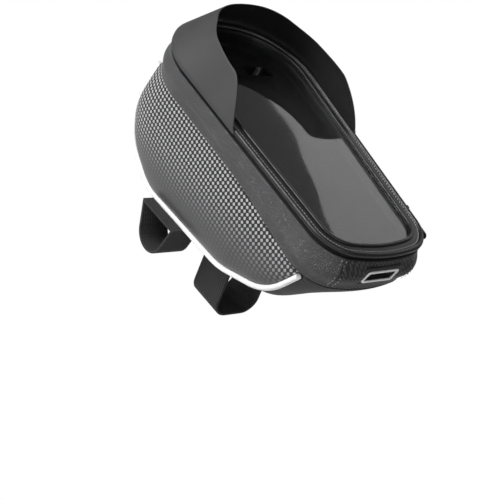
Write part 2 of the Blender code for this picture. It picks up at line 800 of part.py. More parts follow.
def build_visor(bag):
    """Thin visor sewn round the front half of the rim, leaning in over the window."""
    start = bag.outline.run_at_y(VISOR_END_Y)
    half_length = bag.outline.length / 2 - start
    columns = 58
    rows = 5
    base = HALF_GROOVE + VISOR_FIT

    def place(column, row):
        along = 2.0 * half_length * column / columns
        from_end = min(along, 2.0 * half_length - along)
        height = visor_height(from_end)
        level = height * row / rows
        over = max(level - VISOR_UPRIGHT, 0.0) / max(height - VISOR_UPRIGHT, VISOR_UPRIGHT)
        inset = visor_lean(from_end, half_length) * over - VISOR_FIT
        flat = bag.outline.offset(start + along, inset)
        return Vector((flat.x, flat.y, base + level))

    item = bag.add("visor", mapped_grid(columns, rows, place), bag.leather, bag.hinge)
    solidify(item, VISOR_THICKNESS, 1.0)


def port_place(bag):
    """Placing rule for the cable port: a runs along the end panel, b up it and level outward."""
    def place(a, b, level):
        flat = bag.outline.offset(PORT_ARC + a, -level)
        return Vector((flat.x, flat.y, PORT_Z + b))
    return place


def build_port(bag):
    """Cable port: rubber surround, raised frame and slotted flap."""
    place = port_place(bag)
    face = GAP
    top = face + PORT_SURROUND_THICKNESS
    frame_top = top + GAP + PORT_FRAME_THICKNESS
    inner_size = [size - 2 * PORT_FRAME_WIDTH for size in PORT_FRAME_SIZE]
    outer = skewed_rectangle(*PORT_SIZE, PORT_SKEW, PORT_CORNER * 1.6)
    frame = skewed_rectangle(*PORT_FRAME_SIZE, PORT_SKEW, PORT_CORNER)
    inner = skewed_rectangle(*inner_size, PORT_SKEW, PORT_CORNER * 0.6)
    surround = bag.add("port_surround", prism(outer, face, top, place, PORT_SLICES), bag.rubber)
    hole = bag.guide("surround_cutter", prism(inner, face - 0.002, top + 0.002, place, PORT_SLICES))
    bag.combine(surround, hole, "DIFFERENCE")
    ring = bag.add("port_frame", prism(frame, top + GAP, frame_top, place, PORT_SLICES), bag.reflective)
    opening = bag.guide("frame_cutter", prism(inner, top - 0.001, frame_top + 0.001, place, PORT_SLICES))
    bag.combine(ring, opening, "DIFFERENCE")
    flap_size = [size - 2 * GAP for size in PORT_FRAME_SIZE]
    flap_shape = skewed_rectangle(*flap_size, PORT_SKEW, PORT_CORNER)
    flap_low = -PORT_FLAP_THICKNESS
    flap = bag.add("port_flap", prism(flap_shape, flap_low, 0.0, place, PORT_SLICES), bag.rubber)
    slit_shape = skewed_rectangle(*PORT_SLIT_SIZE, 0.0, PORT_SLIT_SIZE[1] * 0.2)
    slit = bag.guide("slit_cutter", prism(slit_shape, flap_low - 0.002, 0.002, place, PORT_SLICES))
    bag.combine(flap, slit, "DIFFERENCE")


def build_slider(bag):
    """Zip slider on the right side near the rider's end, and its hinged puller."""
    run = bag.outline.run_at_y(SLIDER_Y)
    seat = bag.outline.at(run)
    along = (bag.outline.at(run + 0.004) - bag.outline.at(run - 0.004)).normalized()
    out = Vector((along.y, -along.x))

    def place(a, b, level):
        flat = seat + along * a + out * level
        return Vector((flat.x, flat.y, b + SLIDER_MIDDLE_Z))

    low = GAP + 0.0001
    top = low + SLIDER_THICKNESS
    slide = bag.empty("zip_slide", bag.frame, Vector((seat.x, seat.y, 0.0)))
    plate = rounded_rectangle(*SLIDER_SIZE, 0.0025)
    body = bag.add("zip_slider", prism(plate, low, top, place), bag.metal, slide)
    neck = [(a, b - SLIDER_MIDDLE_Z) for a, b in rounded_rectangle(*SLIDER_NECK, 0.0004)]
    neck_low = GAP - CHAIN_INSET
    neck_part = bag.guide("slider_neck", prism(neck, neck_low, low + SLIDER_THICKNESS / 2, place), slide)
    bag.combine(body, neck_part, "UNION")
    eye_radius = PIN_RADIUS + EYE_CLEARANCE + EYE_WALL
    pin_level = top + GAP + eye_radius
    pin_a = -SLIDER_SIZE[0] * 0.12
    lug_top = pin_level + PIN_RADIUS + 0.0006
    for name, side in (("lug_low", -1.0), ("lug_high", 1.0)):
        middle = side * (LUG_SPAN + LUG_THICKNESS) / 2
        lug = [
            (pin_a + a, middle + b)
            for a, b in rounded_rectangle(LUG_LENGTH, LUG_THICKNESS, LUG_THICKNESS * 0.2, 1)
        ]
        part = bag.guide(name, prism(lug, top - SLIDER_THICKNESS / 2, lug_top, place), slide)
        bag.combine(body, part, "UNION")

    def across(a, b, level):
        return place(pin_a + a, level, pin_level + b)

    pin_reach = LUG_SPAN / 2 + LUG_THICKNESS / 2
    pin = prism(circle_points(PIN_RADIUS, 12), -pin_reach, pin_reach, across)
    bag.combine(body, bag.guide("slider_pin", pin, slide), "UNION")

    centre = place(pin_a, 0.0, pin_level)
    hinge = bag.empty("puller_hinge", slide, centre - slide.location)
    half_eye = LUG_SPAN / 2 - GAP
    eye = prism(circle_points(eye_radius, 20), -half_eye, half_eye, across)
    puller = bag.add("zip_puller", eye, bag.metal, hinge)
    shift = PULLER_SIZE[0] / 2 + eye_radius * 0.6
    tongue = [(a - shift, b) for a, b in rounded_rectangle(*PULLER_SIZE, 0.0024)]
    half = PULLER_THICKNESS / 2

    def tongue_place(a, b, level):
        return place(pin_a + a, b, pin_level + level)

    neck_part = rounded_rectangle(0.006, 2 * half_eye, 0.0004)
    neck_part = [(a - 0.003 - eye_radius * 0.5, b) for a, b in neck_part]
    guide = bag.guide("puller_neck", prism(neck_part, -half, half, tongue_place), hinge)
    bag.combine(puller, guide, "UNION")
    reach = SLIDER_SIZE[0] / 2 + pin_a + 0.0004
    tongue = [(min(a, -reach * 0.45), b) for a, b in tongue]
    guide = bag.guide("puller_tongue", prism(tongue, -half, half, tongue_place), hinge)
    bag.combine(puller, guide, "UNION")
    bore = prism(circle_points(PIN_RADIUS + EYE_CLEARANCE, 16), -half_eye - 0.001, half_eye + 0.001, across)
    bag.combine(puller, bag.guide("puller_bore", bore, hinge), "DIFFERENCE")


def circle_points(radius, count):
    """Corner points of a regular polygon."""
    return [
        (radius * math.cos(2 * math.pi * step / count), radius * math.sin(2 * math.pi * step / count))
        for step in range(count)
    ]


def build_pad(bag):
    """Non-slip pad under the body, where it sits on the bar and the stem."""
    def place(a, b, level):
        return bag.underside.at(a, PAD_ARC - b, level)

    points = rounded_rectangle(*PAD_SIZE, PAD_CORNER)
    bag.add("base_pad", prism(points, GAP, GAP + PAD_THICKNESS, place), bag.rubber)


def bar_strap_line():
    """Closed line of a bar strap in (forward, out from the underside), its outer face."""
    drop = GAP + PAD_THICKNESS + GAP + BAR_RADIUS
    radius = BAR_RADIUS + STRAP_FIT + STRAP_THICKNESS
    top = PIPING_RADIUS + GAP
    points = []
    steps = 16
    side_angle = math.atan2(drop - top, BAR_STRAP_HALF_TOP)
    reach = math.hypot(drop - top, BAR_STRAP_HALF_TOP)
    spread = math.acos(radius / reach)
    first = -side_angle + spread
    last = math.pi + side_angle - spread
    for step in range(steps + 1):
        angle = first + (last - first) * step / steps
        points.append((radius * math.cos(angle), drop + radius * math.sin(angle)))
    points.append((-BAR_STRAP_HALF_TOP, top))
    points.append((BAR_STRAP_HALF_TOP, top))
    return points


def build_straps(bag):
    """Hook-and-loop straps, closed as loops: two round the bar and one round the stem."""
    line = bar_strap_line()
    for name, side in (("handlebar_strap_left", -1.0), ("handlebar_strap_right", 1.0)):
        def place(a, b, level):
            return bag.underside.at(side * BAR_STRAP_X + level, BAR_ARC - a, b)

        bag.add(name, band_of(line, STRAP_THICKNESS, BAR_STRAP_WIDTH / 2, place), bag.strap)

    top = GAP + PAD_THICKNESS + GAP
    bottom = STEM_STRAP_DROP
    span = STEM_STRAP_HALF_SPAN
    corners = [
        (-span, top, STRAP_TOP_RADIUS), (span, top, STRAP_TOP_RADIUS),
        (span, bottom, STEM_STRAP_RADIUS), (-span, bottom, STEM_STRAP_RADIUS),
    ]
    loop = [tuple(point) for point in rounded_path(corners, True, 6)[:-1]]

    def stem_place(a, b, level):
        return bag.underside.at(a, STEM_STRAP_ARC + level, b)

    bag.add("stem_strap", band_of(loop, STRAP_THICKNESS, STEM_STRAP_WIDTH / 2, stem_place), bag.strap)


def main():
    """Build the bag's pieces in order."""
    clear_scene()
    bag = Builder()
    build_band(bag)
    build_side_shells(bag)
    build_gusset(bag)
    build_piping(bag)
    build_zip(bag)
    build_rim(bag)
    build_window(bag)
    build_pocket(bag)
    build_visor(bag)
    build_port(bag)
    build_slider(bag)
    build_pad(bag)
    build_straps(bag)


main()
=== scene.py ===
"""Looks of the top tube bag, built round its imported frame.

The shapes are worked out in the lid's own frame, whose origin is the middle of the zip groove at the
bag's middle plane: +X is the bike's right, +Y points forward and +Z out of the lid. Each finished
mesh is then moved to the frame's place. All sizes are in metres.
"""
import logging  # noqa: E402
import math  # noqa: E402
from collections.abc import Callable, Sequence  # noqa: E402
from dataclasses import dataclass, field  # noqa: E402
from enum import Enum  # noqa: E402

import bmesh  # noqa: E402
import bpy  # noqa: E402
import numpy as np  # noqa: E402
from mathutils import Matrix, Vector  # noqa: E402


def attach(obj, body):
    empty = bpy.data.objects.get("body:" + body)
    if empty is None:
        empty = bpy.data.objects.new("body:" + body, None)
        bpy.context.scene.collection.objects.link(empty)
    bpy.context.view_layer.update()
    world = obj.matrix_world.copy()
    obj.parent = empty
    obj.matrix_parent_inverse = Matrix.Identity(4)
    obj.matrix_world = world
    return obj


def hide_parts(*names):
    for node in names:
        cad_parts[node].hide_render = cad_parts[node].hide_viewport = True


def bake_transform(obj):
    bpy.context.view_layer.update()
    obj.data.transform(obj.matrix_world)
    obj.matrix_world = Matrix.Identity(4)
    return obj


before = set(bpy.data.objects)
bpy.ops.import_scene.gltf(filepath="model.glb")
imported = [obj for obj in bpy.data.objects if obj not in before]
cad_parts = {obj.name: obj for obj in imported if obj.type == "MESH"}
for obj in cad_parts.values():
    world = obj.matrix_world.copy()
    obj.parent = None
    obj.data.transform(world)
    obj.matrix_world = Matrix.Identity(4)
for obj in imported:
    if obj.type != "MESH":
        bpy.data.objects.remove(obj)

LOG = logging.getLogger("tube_bag")
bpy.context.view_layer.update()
GAP = 0.0003
READ_REACH = 0.0015
MERGE_DISTANCE = 1e-7
THREAD_RADIUS = 0.00022
SHARP_ANGLE = math.radians(40.0)
UP = Vector((0.0, 0.0, 1.0))
Flat = tuple[float, float]
Triple = tuple[float, float, float]
Place = Callable[[float, float, float], Vector]
Profile = Callable[[float, float], list[Flat]]


class Body(Enum):
    """Moving bodies that a piece can ride on."""

    BAG = "bag_body"
    LID = "lid"
    SLIDER = "slider"
    PULLER = "puller"


class Side(Enum):
    """Sides of the bag, with the sign of X there."""

    LEFT = -1.0
    RIGHT = 1.0


class Solver(Enum):
    """Solvers of a cut."""

    EXACT = "EXACT"
    MANIFOLD = "MANIFOLD"


# Flat geometry.


def smooth_step(share: float) -> float:
    """Ease from 0 to 1.

    Args:
        share: how far along, limited to 0 and 1.

    Returns:
        The eased share.
    """
    share = min(max(share, 0.0), 1.0)
    return share * share * (3.0 - 2.0 * share)


def arc_angles(first: float, last: float, steps: int) -> list[float]:
    """Angles that part an arc evenly, with both its ends."""
    return [first + (last - first) * step / steps for step in range(steps + 1)]


def raised(flat: Vector, z: float) -> Vector:
    """A flat point put at a level."""
    return Vector((flat.x, flat.y, z))


def rounded_corner(before: Vector, corner: Vector, after: Vector, radius: float, steps: int) -> list[Vector]:
    """Round one corner of a polygon with an arc.

    Args:
        before: corner before this one.
        corner: the corner that is rounded.
        after: corner after this one.
        radius: radius of the arc.
        steps: how many straight pieces the arc has.

    Returns:
        Points of the arc.
    """
    into = (corner - before).normalized()
    out = (after - corner).normalized()
    turn = into.angle(out)
    side = 1.0 if into.x * out.y - into.y * out.x > 0 else -1.0
    start = corner - into * radius * math.tan(turn / 2)
    middle = start + Vector((-into.y, into.x)) * radius * side
    first = start - middle
    points = []
    for angle in arc_angles(0.0, side * turn, steps):
        cos = math.cos(angle)
        sin = math.sin(angle)
        points.append(middle + Vector((first.x * cos - first.y * sin, first.x * sin + first.y * cos)))
    return points


def rounded_path(corners: Sequence[Triple], steps: int) -> np.ndarray:
    """Round the corners of a polygon, or of an open line whose two ends have no radius.

    Args:
        corners: x, y and radius of each corner.
        steps: straight pieces in each arc.

    Returns:
        Points of the line, one row each.
    """
    flat = [Vector((x, y)) for x, y, _ in corners]
    count = len(corners)
    points: list[Vector] = []
    for index in range(count):
        radius = corners[index][2]
        if radius == 0.0:
            points.append(flat[index])
        else:
            points += rounded_corner(flat[index - 1], flat[index], flat[(index + 1) % count], radius, steps)
    return np.array([tuple(point) for point in points])


def rounded_outline(corners: Sequence[Triple], steps: int) -> list[Flat]:
    """Outline of a polygon with rounded corners, as a list of points."""
    return [tuple(point) for point in rounded_path(corners, steps)]


def rounded_rectangle(length: float, width: float, radius: float, steps: int = 6) -> list[Flat]:
    """Corner points of a rounded rectangle about the origin.

    Args:
        length: size along the first axis.
        width: size along the second axis.
        radius: corner radius.
        steps: straight pieces in each corner.

    Returns:
        The corner points.
    """
    a = length / 2
    b = width / 2
    corners = [(a, -b, radius), (a, b, radius), (-a, b, radius), (-a, -b, radius)]
    return rounded_outline(corners, steps)


class Path:
    """A flat line that gives its points and directions by the length run along it."""

    def __init__(self, points: np.ndarray) -> None:
        """Keep the points, without doubles, and the run to each.

        Args:
            points: points of the line, one row each.
        """
        steps = np.hypot(*np.diff(points, axis=0).T)
        self.points = points[np.concatenate(([True], steps > 1e-9))]
        steps = np.hypot(*np.diff(self.points, axis=0).T)
        self.run = np.concatenate(([0.0], np.cumsum(steps)))
        self.length = float(self.run[-1])

    def at(self, run: float) -> Vector:
        """Point at a run along the line."""
        return Vector([float(np.interp(run, self.run, values)) for values in self.points.T])

    def way(self, run: float) -> Vector:
        """Direction of the line, read over a short reach each way.

        Args:
            run: run along the line.

        Returns:
            The direction, with a length of 1.
        """
        low = max(run - READ_REACH, 0.0)
        high = min(run + READ_REACH, self.length)
        return (self.at(high) - self.at(low)).normalized()


@dataclass(frozen=True)
class LidShape:
    """Sizes of the lid's tapered outline with its bowed ends."""

    rear: float = 0.1140
    front: float = 0.1165
    rear_bow: float = 0.0095
    front_bow: float = 0.0100
    rear_half_width: float = 0.0452
    front_half_width: float = 0.0600
    rear_corner: float = 0.027
    front_corner: float = 0.052
    rear_bow_radius: float = 0.116
    front_bow_radius: float = 0.075


class LidOutline(Path):
    """Closed outline of the lid, from the middle of its rear end round by the right side."""

    def __init__(self, shape: LidShape) -> None:
        """Build the outline from its sizes.

        Args:
            shape: sizes of the outline.
        """
        half = [
            (shape.rear_half_width, shape.rear_bow - shape.rear, shape.rear_corner),
            (shape.front_half_width, shape.front - shape.front_bow, shape.front_corner),
        ]
        corners = [(0.0, -shape.rear, shape.rear_bow_radius)] + half
        corners += [(0.0, shape.front, shape.front_bow_radius)]
        corners += [(-x, y, radius) for x, y, radius in reversed(half)]
        steps = 96
        points = rounded_path(corners, steps)
        middle = steps // 2
        super().__init__(np.concatenate((points[middle:], points[: middle + 1])))

    def outward(self, run: float) -> Vector:
        """Direction away from the lid.

        Args:
            run: run along the outline.

        Returns:
            The direction, with a length of 1.
        """
        low = self.at((run - READ_REACH) % self.length)
        high = self.at((run + READ_REACH) % self.length)
        way = (high - low).normalized()
        return Vector((way.y, -way.x))

    def offset(self, run: float, inset: float) -> Vector:
        """Point inside the outline by inset, beside a run along it."""
        return self.at(run % self.length) - self.outward(run) * inset

    def right_half(self) -> tuple[np.ndarray, np.ndarray]:
        """Runs and points of the right half."""
        half = self.run <= self.length / 2
        return self.run[half], self.points[half]

    def run_at_y(self, y: float) -> float:
        """Run along the right side at which the outline has this y."""
        runs, points = self.right_half()
        return float(np.interp(y, points[:, 1], runs))

    def run_at_x(self, x: float, front: bool) -> float:
        """Run in the right half at which one end of the outline is x wide.

        Args:
            x: distance from the middle plane.
            front: whether the end is the front one.

        Returns:
            The run.
        """
        runs, points = self.right_half()
        widest = int(np.argmax(points[:, 0]))
        if front:
            return float(np.interp(-x, -points[widest:, 0], runs[widest:]))
        return float(np.interp(x, points[:widest, 0], runs[:widest]))

    def end_y(self, x: float, front: bool) -> float:
        """How far one end of the outline reaches at x."""
        return self.at(self.run_at_x(abs(x), front)).y


@dataclass(frozen=True)
class BodyShape:
    """Sizes of the bag below the zip."""

    band_height: float = 0.0190
    band_rear_extra: float = 0.0070
    band_drop_start: float = -0.0100
    band_drop_length: float = 0.0850
    half_groove: float = 0.0014
    panel_reach: float = 0.0315
    piping_half_span: float = 0.0436
    piping_radius: float = 0.0018
    piping_start: float = 0.0018
    foot: Triple = (0.1015, -0.0600, 0.038)
    heel: Triple = (0.0875, -0.0837, 0.036)
    belly: Triple = (0.0540, -0.0957, 0.040)
    underside_slope: float = math.radians(10.0)
    underside_length: float = 0.0920
    tail_radius: float = 0.060
    rear_turn: Triple = (-0.0800, -0.0575, 0.050)

    def band_depth(self, y: float) -> float:
        """How far the band reaches below the groove: it grows toward the rear end."""
        share = smooth_step((self.band_drop_start - y) / self.band_drop_length)
        return self.band_height + self.band_rear_extra * share


class BodyProfile(Path):
    """Side profile (y, z) of the body on the piping's plane, from the band's front to its rear."""

    def __init__(self, outline: LidOutline, shape: BodyShape) -> None:
        """Build the profile under the lid's outline.

        Args:
            outline: the lid's outline.
            shape: sizes of the body.
        """
        front_y = outline.end_y(shape.piping_half_span, True)
        rear_y = outline.end_y(shape.piping_half_span, False)
        tail_y = shape.belly[0] - shape.underside_length * math.cos(shape.underside_slope)
        tail_z = shape.belly[1] + shape.underside_length * math.sin(shape.underside_slope)
        corners = [
            (front_y, -shape.band_depth(front_y) - GAP, 0.0),
            shape.foot,
            shape.heel,
            shape.belly,
            (tail_y, tail_z, shape.tail_radius),
            shape.rear_turn,
            (rear_y, -shape.band_depth(rear_y) - GAP, 0.0),
        ]
        super().__init__(rounded_path(corners, 24))
        belly_half_turn = math.radians(15.0)
        tail_half_turn = math.radians(10.5)
        self.flat_start = self.run_near(shape.belly[0] - shape.belly[2] * math.tan(belly_half_turn))
        self.flat_end = self.run_near(tail_y + shape.tail_radius * math.tan(tail_half_turn))

    def run_near(self, y: float) -> float:
        """Run at which the underside has this y."""
        deepest = int(np.argmin(self.points[:, 1]))
        return float(np.interp(-y, -self.points[deepest:, 0], self.run[deepest:]))

    def outward(self, run: float) -> Vector:
        """Direction away from the body at a run along the profile."""
        way = self.way(run)
        return Vector((-way.y, way.x))


@dataclass
class Underside:
    """Frame of the flat underside: back runs along it and out points away from the bag."""

    shape: BodyShape
    pad_thickness: float = 0.0035
    bar_radius: float = 0.0127
    bar_arc: float = 0.0300

    def __post_init__(self) -> None:
        """Work out the underside's place and slope."""
        slope = self.shape.underside_slope
        self.origin = Vector((0.0, self.shape.belly[0], self.shape.belly[1]))
        self.forward = Vector((0.0, math.cos(slope), -math.sin(slope)))
        self.out = Vector((0.0, -math.sin(slope), -math.cos(slope)))

    def at(self, x: float, back: float, out: float) -> Vector:
        """Point at x across, back along the underside from the belly and out from its face."""
        return self.origin + Vector((x, 0.0, 0.0)) - self.forward * back + self.out * out

    def bar_drop(self) -> float:
        """How far the axis of the bar straps lies out from the underside."""
        return 2 * GAP + self.pad_thickness + self.bar_radius

    def bar_axis(self) -> Vector:
        """Middle of the bar straps' axis, which is the frame's origin."""
        return self.at(0.0, self.bar_arc, self.bar_drop())


# Mesh building.


def mapped_grid(columns: int, rows: int, place: Callable[[int, int], Vector]) -> bmesh.types.BMesh:
    """Make a grid of faces and move each of its corners.

    Args:
        columns: faces along the first way.
        rows: faces along the second way.
        place: gives the place of a corner by its column and row.

    Returns:
        The mesh, with its doubles merged.
    """
    bm = bmesh.new()
    bmesh.ops.create_grid(bm, x_segments=columns, y_segments=rows, size=1.0)
    for vert in bm.verts:
        column = round((vert.co.x + 1.0) / 2.0 * columns)
        row = round((vert.co.y + 1.0) / 2.0 * rows)
        vert.co = place(column, row)
    bmesh.ops.remove_doubles(bm, verts=bm.verts, dist=MERGE_DISTANCE)
    return bm


def turn_outward(bm: bmesh.types.BMesh) -> None:
    """Turn a closed body's faces outward."""
    if bm.calc_volume(signed=True) < 0:
        bmesh.ops.reverse_faces(bm, faces=bm.faces)


def section_sweep(columns: int, section: Callable[[int], list[Vector]]) -> bmesh.types.BMesh:
    """Sweep a closed section and fill both ends if they are open.

    Args:
        columns: how many stretches the sweep has.
        section: gives the section's points at each column.

    Returns:
        The closed mesh.
    """
    sections = [section(column) for column in range(columns + 1)]
    count = len(sections[0])
    bm = mapped_grid(columns, count, lambda column, row: sections[column][row % count])
    open_edges = [edge for edge in bm.edges if edge.is_boundary]
    bmesh.ops.holes_fill(bm, edges=open_edges, sides=0)
    turn_outward(bm)
    return bm


def steady(section: list[Flat]) -> Profile:
    """Profile whose section stays the same all along."""
    return lambda run, y: section


def outline_sweep(
    outline: LidOutline, profile: Profile, start: float, end: float, columns: int
) -> bmesh.types.BMesh:
    """Sweep a section along a stretch of the lid's outline.

    Args:
        outline: the lid's outline.
        profile: gives the section's (inset, z) corners by the run and y there.
        start: run at which the sweep starts.
        end: run at which it ends.
        columns: how many stretches it has.

    Returns:
        The closed mesh.
    """

    def section(column: int) -> list[Vector]:
        """Place the section.

        Args:
            column: column at which it stands.

        Returns:
            Its points.
        """
        run = start + (end - start) * column / columns
        corners = profile(run, outline.at(run % outline.length).y)
        return [raised(outline.offset(run, inset), z) for inset, z in corners]

    return section_sweep(columns, section)


def prism(
    points: Sequence[Flat], low: float, high: float, place: Place, slices: int = 1
) -> bmesh.types.BMesh:
    """Extrude a flat outline between two levels and move its corners.

    Args:
        points: corners of the outline.
        low: lower level.
        high: upper level.
        place: gives the place of a corner.
        slices: how many slices it is cut into along its first way, so that it can bend.

    Returns:
        The closed mesh.
    """
    bm = bmesh.new()
    face = bm.faces.new([bm.verts.new((a, b, low)) for a, b in points])
    made = bmesh.ops.extrude_face_region(bm, geom=[face], use_keep_orig=True)
    top = [item for item in made["geom"] if isinstance(item, bmesh.types.BMVert)]
    bmesh.ops.translate(bm, verts=top, vec=(0.0, 0.0, high - low))
    first = min(a for a, b in points)
    last = max(a for a, b in points)
    for index in range(1, slices):
        cut = (first + (last - first) * index / slices, 0.0, 0.0)
        geom = bm.verts[:] + bm.edges[:] + bm.faces[:]
        bmesh.ops.bisect_plane(bm, geom=geom, dist=MERGE_DISTANCE, plane_co=cut, plane_no=(1.0, 0.0, 0.0))
    for vert in bm.verts:
        vert.co = place(*vert.co)
    bmesh.ops.recalc_face_normals(bm, faces=bm.faces)
    turn_outward(bm)
    return bm


def round_edges(bm: bmesh.types.BMesh, width: float, segments: int) -> None:
    """Bevel the sharp edges of a mesh.

    Args:
        bm: the mesh.
        width: how wide the bevel is.
        segments: how many faces it has across.
    """
    inner = [edge for edge in bm.edges if len(edge.link_faces) == 2]
    edges = [edge for edge in inner if edge.calc_face_angle(0.0) > SHARP_ANGLE]
    bmesh.ops.bevel(
        bm, geom=edges, offset=width, offset_type="OFFSET", affect="EDGES",
        segments=segments, profile=0.5, clamp_overlap=True, material=-1,
    )


def give_second(bm: bmesh.types.BMesh, wanted: Callable[[bmesh.types.BMFace], bool]) -> None:
    """Give some faces of a mesh its piece's second finish.

    Args:
        bm: the mesh.
        wanted: tells whether a face gets it.
    """
    for face in bm.faces:
        if wanted(face):
            face.material_index = 1


def darken_top(bm: bmesh.types.BMesh, level: float) -> None:
    """Give the faces on top of a wall its second finish, as the zip's cloth folds over them.

    Args:
        bm: the wall's mesh.
        level: z of its top.
    """
    least_z = level - 0.0008
    least_rise = 0.5
    give_second(bm, lambda face: face.normal.z > least_rise and face.calc_center_median().z > least_z)


def stitches(
    places: Sequence[tuple[Vector, Vector]], length: float, radius: float = THREAD_RADIUS
) -> bmesh.types.BMesh:
    """A row of small rounded stitches.

    Args:
        places: middle and direction of each stitch.
        length: length of a stitch.
        radius: radius of the thread.

    Returns:
        The mesh of all of them.
    """
    bm = bmesh.new()
    for middle, way in places:
        turn = way.to_track_quat("Z", "Y")
        size = Vector((radius, radius, length / 2))
        bmesh.ops.create_uvsphere(
            bm, u_segments=6, v_segments=4, radius=1.0, matrix=Matrix.LocRotScale(middle, turn, size)
        )
    return bm


# Finishes.


class NodeSheet:
    """Adds and joins the nodes of one material or group."""

    def __init__(self, tree: bpy.types.NodeTree) -> None:
        """Keep the tree.

        Args:
            tree: node tree of a material or a group.
        """
        self.tree = tree

    def add(
        self, kind: str, inputs: dict[str | int, object] | None = None, **settings: object
    ) -> bpy.types.Node:
        """Add a node.

        Args:
            kind: the node's type.
            inputs: value or output socket for each named input.
            settings: the node's own settings.

        Returns:
            The node.
        """
        node = self.tree.nodes.new(kind)
        for name, value in settings.items():
            setattr(node, name, value)
        for name, value in (inputs or {}).items():
            socket = node.inputs[name]
            if isinstance(value, bpy.types.NodeSocket):
                self.tree.links.new(value, socket)
            else:
                socket.default_value = value
        return node

    def math(self, operation: str, *values: object) -> bpy.types.NodeSocket:
        """Add a math node and return its output."""
        return self.add("ShaderNodeMath", dict(enumerate(values)), operation=operation).outputs[0]

    def ease(self, value: bpy.types.NodeSocket, low: float, high: float) -> bpy.types.NodeSocket:
        """Smooth mask that is 0 at low and 1 at high."""
        inputs = {"Value": value, "From Min": low, "From Max": high}
        return self.add("ShaderNodeMapRange", inputs, interpolation_type="SMOOTHSTEP").outputs["Result"]

    def mix(self, share: object, first: object, second: object) -> bpy.types.NodeSocket:
        """Mix two colours and return the output."""
        return self.add("ShaderNodeMix", {0: share, 6: first, 7: second}, data_type="RGBA").outputs[2]

    def place(self) -> bpy.types.NodeSocket:
        """Object coordinates."""
        return self.add("ShaderNodeTexCoord").outputs["Object"]

    def group(self, name: str, inputs: dict[str | int, object]) -> bpy.types.Node:
        """Place a shared group and return its node."""
        return self.add("ShaderNodeGroup", inputs, node_tree=bpy.data.node_groups[name])


Group = tuple[bpy.types.NodeTree, NodeSheet, bpy.types.Node, bpy.types.Node]


def new_group(name: str, value: str, usual: float, outputs: Sequence[str]) -> Group:
    """Start a shader group that reads a Vector and one value, and puts out values.

    Args:
        name: the group's name.
        value: name of the input beside Vector.
        usual: its starting value.
        outputs: names of the outputs.

    Returns:
        The group, its sheet, its input node and its output node.
    """
    group = bpy.data.node_groups.new(name, "ShaderNodeTree")
    group.interface.new_socket("Vector", in_out="INPUT", socket_type="NodeSocketVector")
    made = group.interface.new_socket(value, in_out="INPUT", socket_type="NodeSocketFloat")
    made.default_value = usual
    for output in outputs:
        group.interface.new_socket(output, in_out="OUTPUT", socket_type="NodeSocketFloat")
    sheet = NodeSheet(group)
    return group, sheet, sheet.add("NodeGroupInput"), sheet.add("NodeGroupOutput")


def build_grain_group() -> bpy.types.NodeTree:
    """Fine leather grain: pebbles with creases between them, on Object coordinates.

    Returns:
        The group, which puts out a Height and a Mottle mask.
    """
    group, sheet, given, out = new_group("leather_grain", "Scale", 1200.0, ["Height", "Mottle"])
    place = {"Vector": given.outputs["Vector"], "Scale": given.outputs["Scale"]}
    cells = sheet.add("ShaderNodeTexVoronoi", place, feature="DISTANCE_TO_EDGE")
    crease = sheet.ease(cells.outputs["Distance"], 0.0, 0.28)
    noise = sheet.add("ShaderNodeTexNoise", {**place, "Detail": 2.0})
    height = sheet.math("MULTIPLY_ADD", noise.outputs["Fac"], 0.6, crease)
    soft = sheet.add("ShaderNodeTexNoise", {"Vector": given.outputs["Vector"], "Scale": 34.0, "Detail": 3.0})
    sheet.tree.links.new(height, out.inputs["Height"])
    sheet.tree.links.new(sheet.ease(soft.outputs["Fac"], 0.3, 0.7), out.inputs["Mottle"])
    return group


def build_weave_group() -> bpy.types.NodeTree:
    """Plain weave of two sets of threads across each other, on Object coordinates.

    Returns:
        The group, which puts out a Height and a Thread mask.
    """
    group, sheet, given, out = new_group("plain_weave", "Pitch", 0.0012, ["Height", "Thread"])
    parts = sheet.add("ShaderNodeSeparateXYZ", {"Vector": given.outputs["Vector"]})
    scale = sheet.math("DIVIDE", math.pi, given.outputs["Pitch"])
    across = sheet.math("ADD", parts.outputs["X"], sheet.math("MULTIPLY", parts.outputs["Z"], 0.5))
    along = sheet.math("SUBTRACT", parts.outputs["Y"], sheet.math("MULTIPLY", parts.outputs["Z"], 0.8))
    one = sheet.math("SINE", sheet.math("MULTIPLY", across, scale))
    two = sheet.math("SINE", sheet.math("MULTIPLY", along, scale))
    woven = sheet.math("MULTIPLY", one, two)
    height = sheet.math("ABSOLUTE", woven)
    sheet.tree.links.new(height, out.inputs["Height"])
    sheet.tree.links.new(sheet.ease(woven, -0.2, 0.6), out.inputs["Thread"])
    return group


def build_dots_group() -> bpy.types.NodeTree:
    """Carbon-like pattern of small raised lozenges on a square net over the bag's side.

    Returns:
        The group, which puts out a Dot mask.
    """
    half_size = 0.47
    group, sheet, given, out = new_group("carbon_dots", "Pitch", 0.0039, ["Dot"])
    parts = sheet.add("ShaderNodeSeparateXYZ", {"Vector": given.outputs["Vector"]})
    shares = []
    for axis in ("Y", "Z"):
        cell = sheet.math("DIVIDE", parts.outputs[axis], given.outputs["Pitch"])
        shares.append(sheet.math("SUBTRACT", sheet.math("FRACT", cell), 0.5))
    corners = []
    for join in ("SUBTRACT", "ADD"):
        across = sheet.math(join, shares[1], shares[0])
        corners.append(sheet.math("POWER", sheet.math("DIVIDE", across, half_size), 4.0))
    reach = sheet.math("ADD", *corners)
    sheet.tree.links.new(sheet.ease(reach, 1.6, 0.1), out.inputs["Dot"])
    return group


def grey(level: float) -> Triple:
    """A grey that is very slightly cool."""
    return (level, level, level * 1.04)


